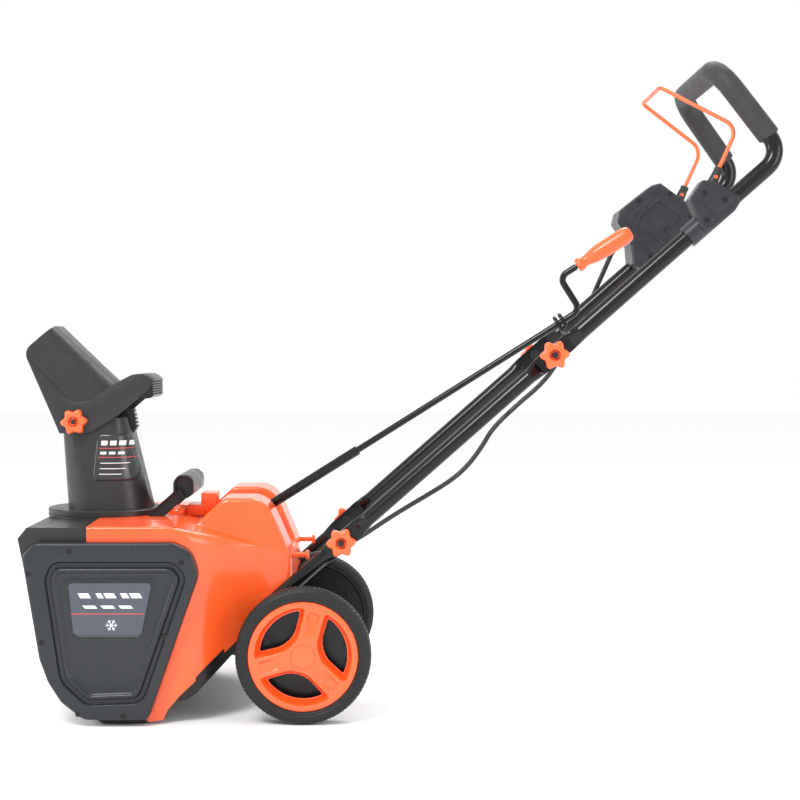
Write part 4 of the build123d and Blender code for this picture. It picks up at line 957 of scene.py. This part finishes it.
def crank_grip():
    """Waisted grip with a round collar at its foot and a rounded end."""
    node = NODES["crank_grip"]
    axis = Vector((-499, 58, 316.6)).normalized()
    points = [node.matrix_world @ v.co for v in node.data.vertices]
    first = min(p.dot(axis) for p in points)
    foot = [p for p in points if p.dot(axis) < first + 0.0005]
    start = sum(foot, Vector()) / len(foot)
    profile = [
        (84.6, 0.3), (84.6, 3.62), (0, 3.62), (0, 8.2), (0.8, 9.5), (2.6, 10.5), (5, 10.9),
        (7.4, 10.5), (10, 9.3), (13, 8.5), (16.5, 8.4), (21, 9.2), (27, 10.9), (34, 12.3),
        (44, 13.0), (60, 13.1), (82, 13.1), (88, 12.8), (92.5, 11.7), (95.6, 9.6), (97.3, 6.6),
        (97.7, 3.0), (97.8, 0.3),
    ]
    rings = lathe_rings(start, axis, in_mm(profile), 64)
    piece = made("crank_handle_grip", *skin(rings), "knob_plastic")
    finish_piece(piece, "crank_grip", 40)


crank_grip()

# ---------------------------------------------------------------- chute label and switch reliefs


def on_chute(points, lift):
    """Points on the chute's left side, lifted off it."""
    node = NODES["chute_tube"]
    back = node.matrix_world.inverted()
    found = []
    for x, z in points:
        start = at(x, 200, z)
        hit, place, normal, _ = node.ray_cast(back @ start, Vector((0, -1, 0)))
        found.append((node.matrix_world @ place) + normal * lift * MM if hit else None)
    return found


CHUTE_LEAN = -0.10


def chute_patch(name, x_from, x_to, z_from, z_to, lift, material, soft=0.0):
    """A thin sticker on the chute between two heights; its front edge leans with the chute."""
    across, up = 26, 16
    points = []
    for row in range(up + 1):
        for step in range(across + 1):
            u, v = step / across, row / up
            drop = min(u, 1 - u) * abs(x_to - x_from)
            trim = soft - sqrt(max(0.0, soft * soft - (soft - min(drop, soft)) ** 2)) if soft else 0.0
            z = z_from + trim + (z_to - z_from - 2 * trim) * v
            points.append((x_from + (x_to - x_from) * u + CHUTE_LEAN * (z - 380), z))
    places = on_chute(points, lift)
    faces, used = [], {}
    for row in range(up):
        for step in range(across):
            a = row * (across + 1) + step
            corners = (a, a + 1, a + across + 2, a + across + 1)
            if all(places[c] is not None for c in corners):
                faces.append(tuple(used.setdefault(c, len(used)) for c in corners))
    vertices = [places[c] for c in used]
    piece = made(name, vertices, faces, "housing_plastic", "chute", material=material)
    thicken(piece, STICKER)
    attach(piece, BODY_OF["chute_tube"])


LABEL_DARK = finish("label_dark", (0.028, 0.028, 0.030), 0.22, mottle=0.05, grain=600, depth=0.01)
chute_patch("chute_label", 329, 262, 345, 418, 0.3, LABEL_DARK, 8.0)
for row, (high, low) in enumerate(((407, 400), (390, 386))):
    for step in range(4 - row):
        start = 322 - 13.5 * step
        chute_patch(f"chute_mark_{row}_{step}", start, start - 9.5, low, high, 0.5, LABEL_PRINT)
for row, z in enumerate((395, 381)):
    chute_patch(f"chute_line_{row}", 324, 266, z, z + 0.9, 0.5, LABEL_RED)
for row in range(3):
    chute_patch(f"chute_small_{row}", 320, 276 + 5 * row, 372 - 8.5 * row, 373 - 8.5 * row, 0.5, LABEL_PRINT)


def relief(name, loop, y_from, y_to, node, soft=1.2, holes=()):
    """A shallow raised or sunk-edged plate with rounded corners on a face that looks to the left."""
    rings = []
    for inset, y in ((0.0, y_from), (0.0, y_to - soft * 0.8), (soft * 0.3, y_to - soft * 0.25), (soft, y_to)):
        rings.append([at(p.x, y, p.y) for p in rounded_loop(inset_loop(loop, inset), 6)])
    piece = made(name, *skin(rings), SLOT_OF[node], BODY_OF[node])
    normals_out(piece)
    if holes:
        axis = (0, 1, 0)
        cut(piece, [round_cutter("hole", at(x, y_from - 5, z), axis, 12 * MM, 4.7 * MM) for x, z in holes])
        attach(piece, BODY_OF[node])
    smooth_by_angle(piece, 30)


HUB_RELIEF = [((-585, 764), 4), ((-590, 788), 5), ((-603, 789), 5), ((-630, 771), 5), ((-629, 763), 4),
              ((-607, 744), 5), ((-597, 752), 5)]
HUB_STEP = [((-588, 740), 4), ((-594, 748), 4), ((-606, 739), 4), ((-598, 729), 4)]
BOX_RELIEF = [((-516, 758), 5), ((-521, 771), 7), ((-560, 803), 8), ((-571, 804), 6), ((-575, 797), 5),
              ((-540, 769), 9), ((-532, 752), 8), ((-524, 748), 4)]
BOX_RIB = [(-548, 719), (-551, 722.5), (-565, 709.5), (-562, 706.5)]
relief("hub_relief", HUB_RELIEF, 186.5, 188.3, "bail_hub", 1.2, [(-588, 778), (-618, 768)])
relief("hub_relief_step", HUB_STEP, 186.5, 188.0, "bail_hub", 1.0, [(-592, 738)])
relief("box_relief", BOX_RELIEF, -106.5, -104.8, "switch_box_cover")
for step in range(3):
    rib = [((x - 15 * step, z + 13.2 * step), 1.2) for x, z in BOX_RIB]
    relief(f"box_rib_{step}", rib, -106.5, -104.6, "switch_box_cover", 0.8)


def strain_relief(name, path, node):
    """Ribbed, tapered sleeve where the cable leaves a housing; the path runs away from the housing."""
    count = len(path)
    ribs = [0.8 if step % 4 in (2, 3) else 0.0 for step in range(count)]
    outer = [(7.6 - 2.7 * (step / (count - 1)) - rib) * MM for step, rib in enumerate(ribs)]
    rings = tube_rings(path, outer, 28)
    inside = tube_rings(path, [CABLE_RADIUS * 1.03] * count, 28)
    rings += inside[::-1] + [rings[0]]
    piece = made(name, *skin(rings, caps=False), "soft_rubber", BODY_OF[node])
    smooth_by_angle(piece, 40)


def first_stretch(path, far, gap):
    """Points gap apart along the start of a path."""
    found, run, wanted = [path[0]], 0.0, gap
    for a, b in zip(path, path[1:]):
        long = (b - a).length
        while run + long >= wanted and wanted <= far:
            found.append(a.lerp(b, (wanted - run) / long))
            wanted += gap
        run += long
    return found


strain_relief("strain_relief_upper", first_stretch(spline(CABLE_UPPER, 10), 22 * MM, 1.1 * MM), "switch_box")
strain_relief("strain_relief_lower", first_stretch(spline(CABLE_LOWER, 10)[::-1], 24 * MM, 1.1 * MM),
    "motor_cover")


# ---------------------------------------------------------------- carry handle and shroud steps


def layered(name, loop, layers, slot, node, replaced=True, bend=8):
    """A piece built up sideways: an outline drawn in by each layer's inset at the layer's Y."""
    rings = []
    for inset, y in layers:
        rings.append([at(p.x, y, p.y) for p in rounded_loop(inset_loop(loop, inset), bend)])
    piece = made(name, *skin(rings), slot)
    if replaced:
        finish_piece(piece, node, 32)
        return
    normals_out(piece)
    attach(piece, BODY_OF[node])
    smooth_by_angle(piece, 32)


CARRY_BAR = [((186, 318.5), 11), ((175.2, 326), 11), ((175.2, 347), 12), ((184, 355), 10), ((199, 355), 11),
             ((206.8, 345), 11), ((206.8, 327), 11), ((199, 318.5), 10)]
CARRY_ARM = [((249, 291.3), 2), ((221, 291.3), 6), ((188, 321), 6), ((196, 336), 5), ((206, 330), 5),
             ((212, 324), 6)]
BAR_LAYERS = [(10.5, -61), (4.2, -62), (3.4, -71.2), (2.6, -72), (0.9, -72), (0, -71),
              (0, 71), (0.9, 72), (2.6, 72), (3.4, 71.2), (4.2, 62), (10.5, 61)]
ARM_LAYERS = [(0.6, 59.5), (0, 60), (0, 70.2), (0.6, 70.9), (1.8, 70.9), (2.4, 69.2), (3.0, 69.0)]
BOSS = [(-3, 15.5), (4, 15.5), (8, 14.6), (10.4, 12.6), (11.6, 9.5), (12, 5), (12, 0.4)]
layered("carry_bar", CARRY_BAR, BAR_LAYERS, "black_plastic", "carry_handle")
for side, which in SIDES:
    layers = [(inset, side * y) for inset, y in ARM_LAYERS]
    layered("carry_arm_" + which, CARRY_ARM, layers, "black_plastic", "carry_handle")
layered("shroud_step_low", [((190.5, 288), 1), ((190.5, 305), 1.5), ((164, 305), 1.5), ((164, 288), 1)],
        [(0.9, -26.6), (0, -26), (0, 26), (0.9, 26.6)], "orange_plastic", "motor_cover", False, 4)
layered("shroud_step_high", [((169, 288), 1), ((169, 323.4), 2), ((145, 323.4), 2), ((145, 288), 1)],
        [(0.9, -24.6), (0, -24), (0, 24), (0.9, 24.6)], "orange_plastic", "motor_cover", False, 4)
for y, which in ((-13, "right"), (13, "left")):
    rings = lathe_rings(at(206, y, 289), (0, 0, 1), in_mm(BOSS), 48)
    made("pinion_boss_" + which, *skin(rings), "orange_plastic", "chassis")


# ---------------------------------------------------------------- room, light and camera

CAMERA_PLACE = at(-124.3, 2620, 547.6)
CAMERA_AIM = Vector((-0.00724, -0.99952, -0.03018))
CAMERA_LENS = 74.5

def area_light(name, place, target, size, watts):
    """A soft lamp aimed at a point."""
    lamp = bpy.data.lights.new(name, "AREA")
    lamp.size = size
    lamp.energy = watts
    holder = bpy.data.objects.new(name, lamp)
    bpy.context.collection.objects.link(holder)
    holder.location = place
    holder.rotation_euler = (Vector(target) - Vector(place)).to_track_quat("-Z", "Y").to_euler()


def studio():
    """Pale floor, soft even light and the camera."""
    bpy.context.scene.view_settings.view_transform = "Standard"
    world = bpy.data.worlds.new("studio")
    bpy.context.scene.world = world
    world.use_nodes = True
    background = world.node_tree.nodes["Background"]
    background.inputs["Color"].default_value = (1, 1, 1, 1)
    background.inputs["Strength"].default_value = 1.0
    half = 12.0
    vertices = [(-half, -half, 0), (half, -half, 0), (half, half, 0), (-half, half, 0)]
    mesh = bpy.data.meshes.new("floor")
    mesh.from_pydata(vertices, [], [(0, 1, 2, 3)])
    floor = bpy.data.objects.new("floor", mesh)
    bpy.context.collection.objects.link(floor)
    pale = finish("floor", (0.97, 0.97, 0.97), 0.9, mottle=0.004, grain=200, depth=0.01, specular=0.1)
    mesh.materials.append(pale)
    floor.location.z = -0.0005
    centre = (0.0, 0.0, 0.4)
    area_light("key", (1.1, 1.9, 2.4), centre, 1.0, 54)
    area_light("fill", (-2.2, 1.6, 0.9), centre, 1.2, 16)
    area_light("front", (2.4, 0.2, 0.9), centre, 1.0, 16)
    area_light("top", (-0.4, -1.2, 2.6), centre, 1.2, 30)
    camera = bpy.data.cameras.new("camera")
    holder = bpy.data.objects.new("camera", camera)
    bpy.context.collection.objects.link(holder)
    holder.location = CAMERA_PLACE
    holder.rotation_euler = CAMERA_AIM.to_track_quat("-Z", "Y").to_euler()
    camera.lens = CAMERA_LENS
    camera.sensor_width = 36.0
    camera.clip_end = 60.0
    bpy.context.scene.camera = holder


studio()
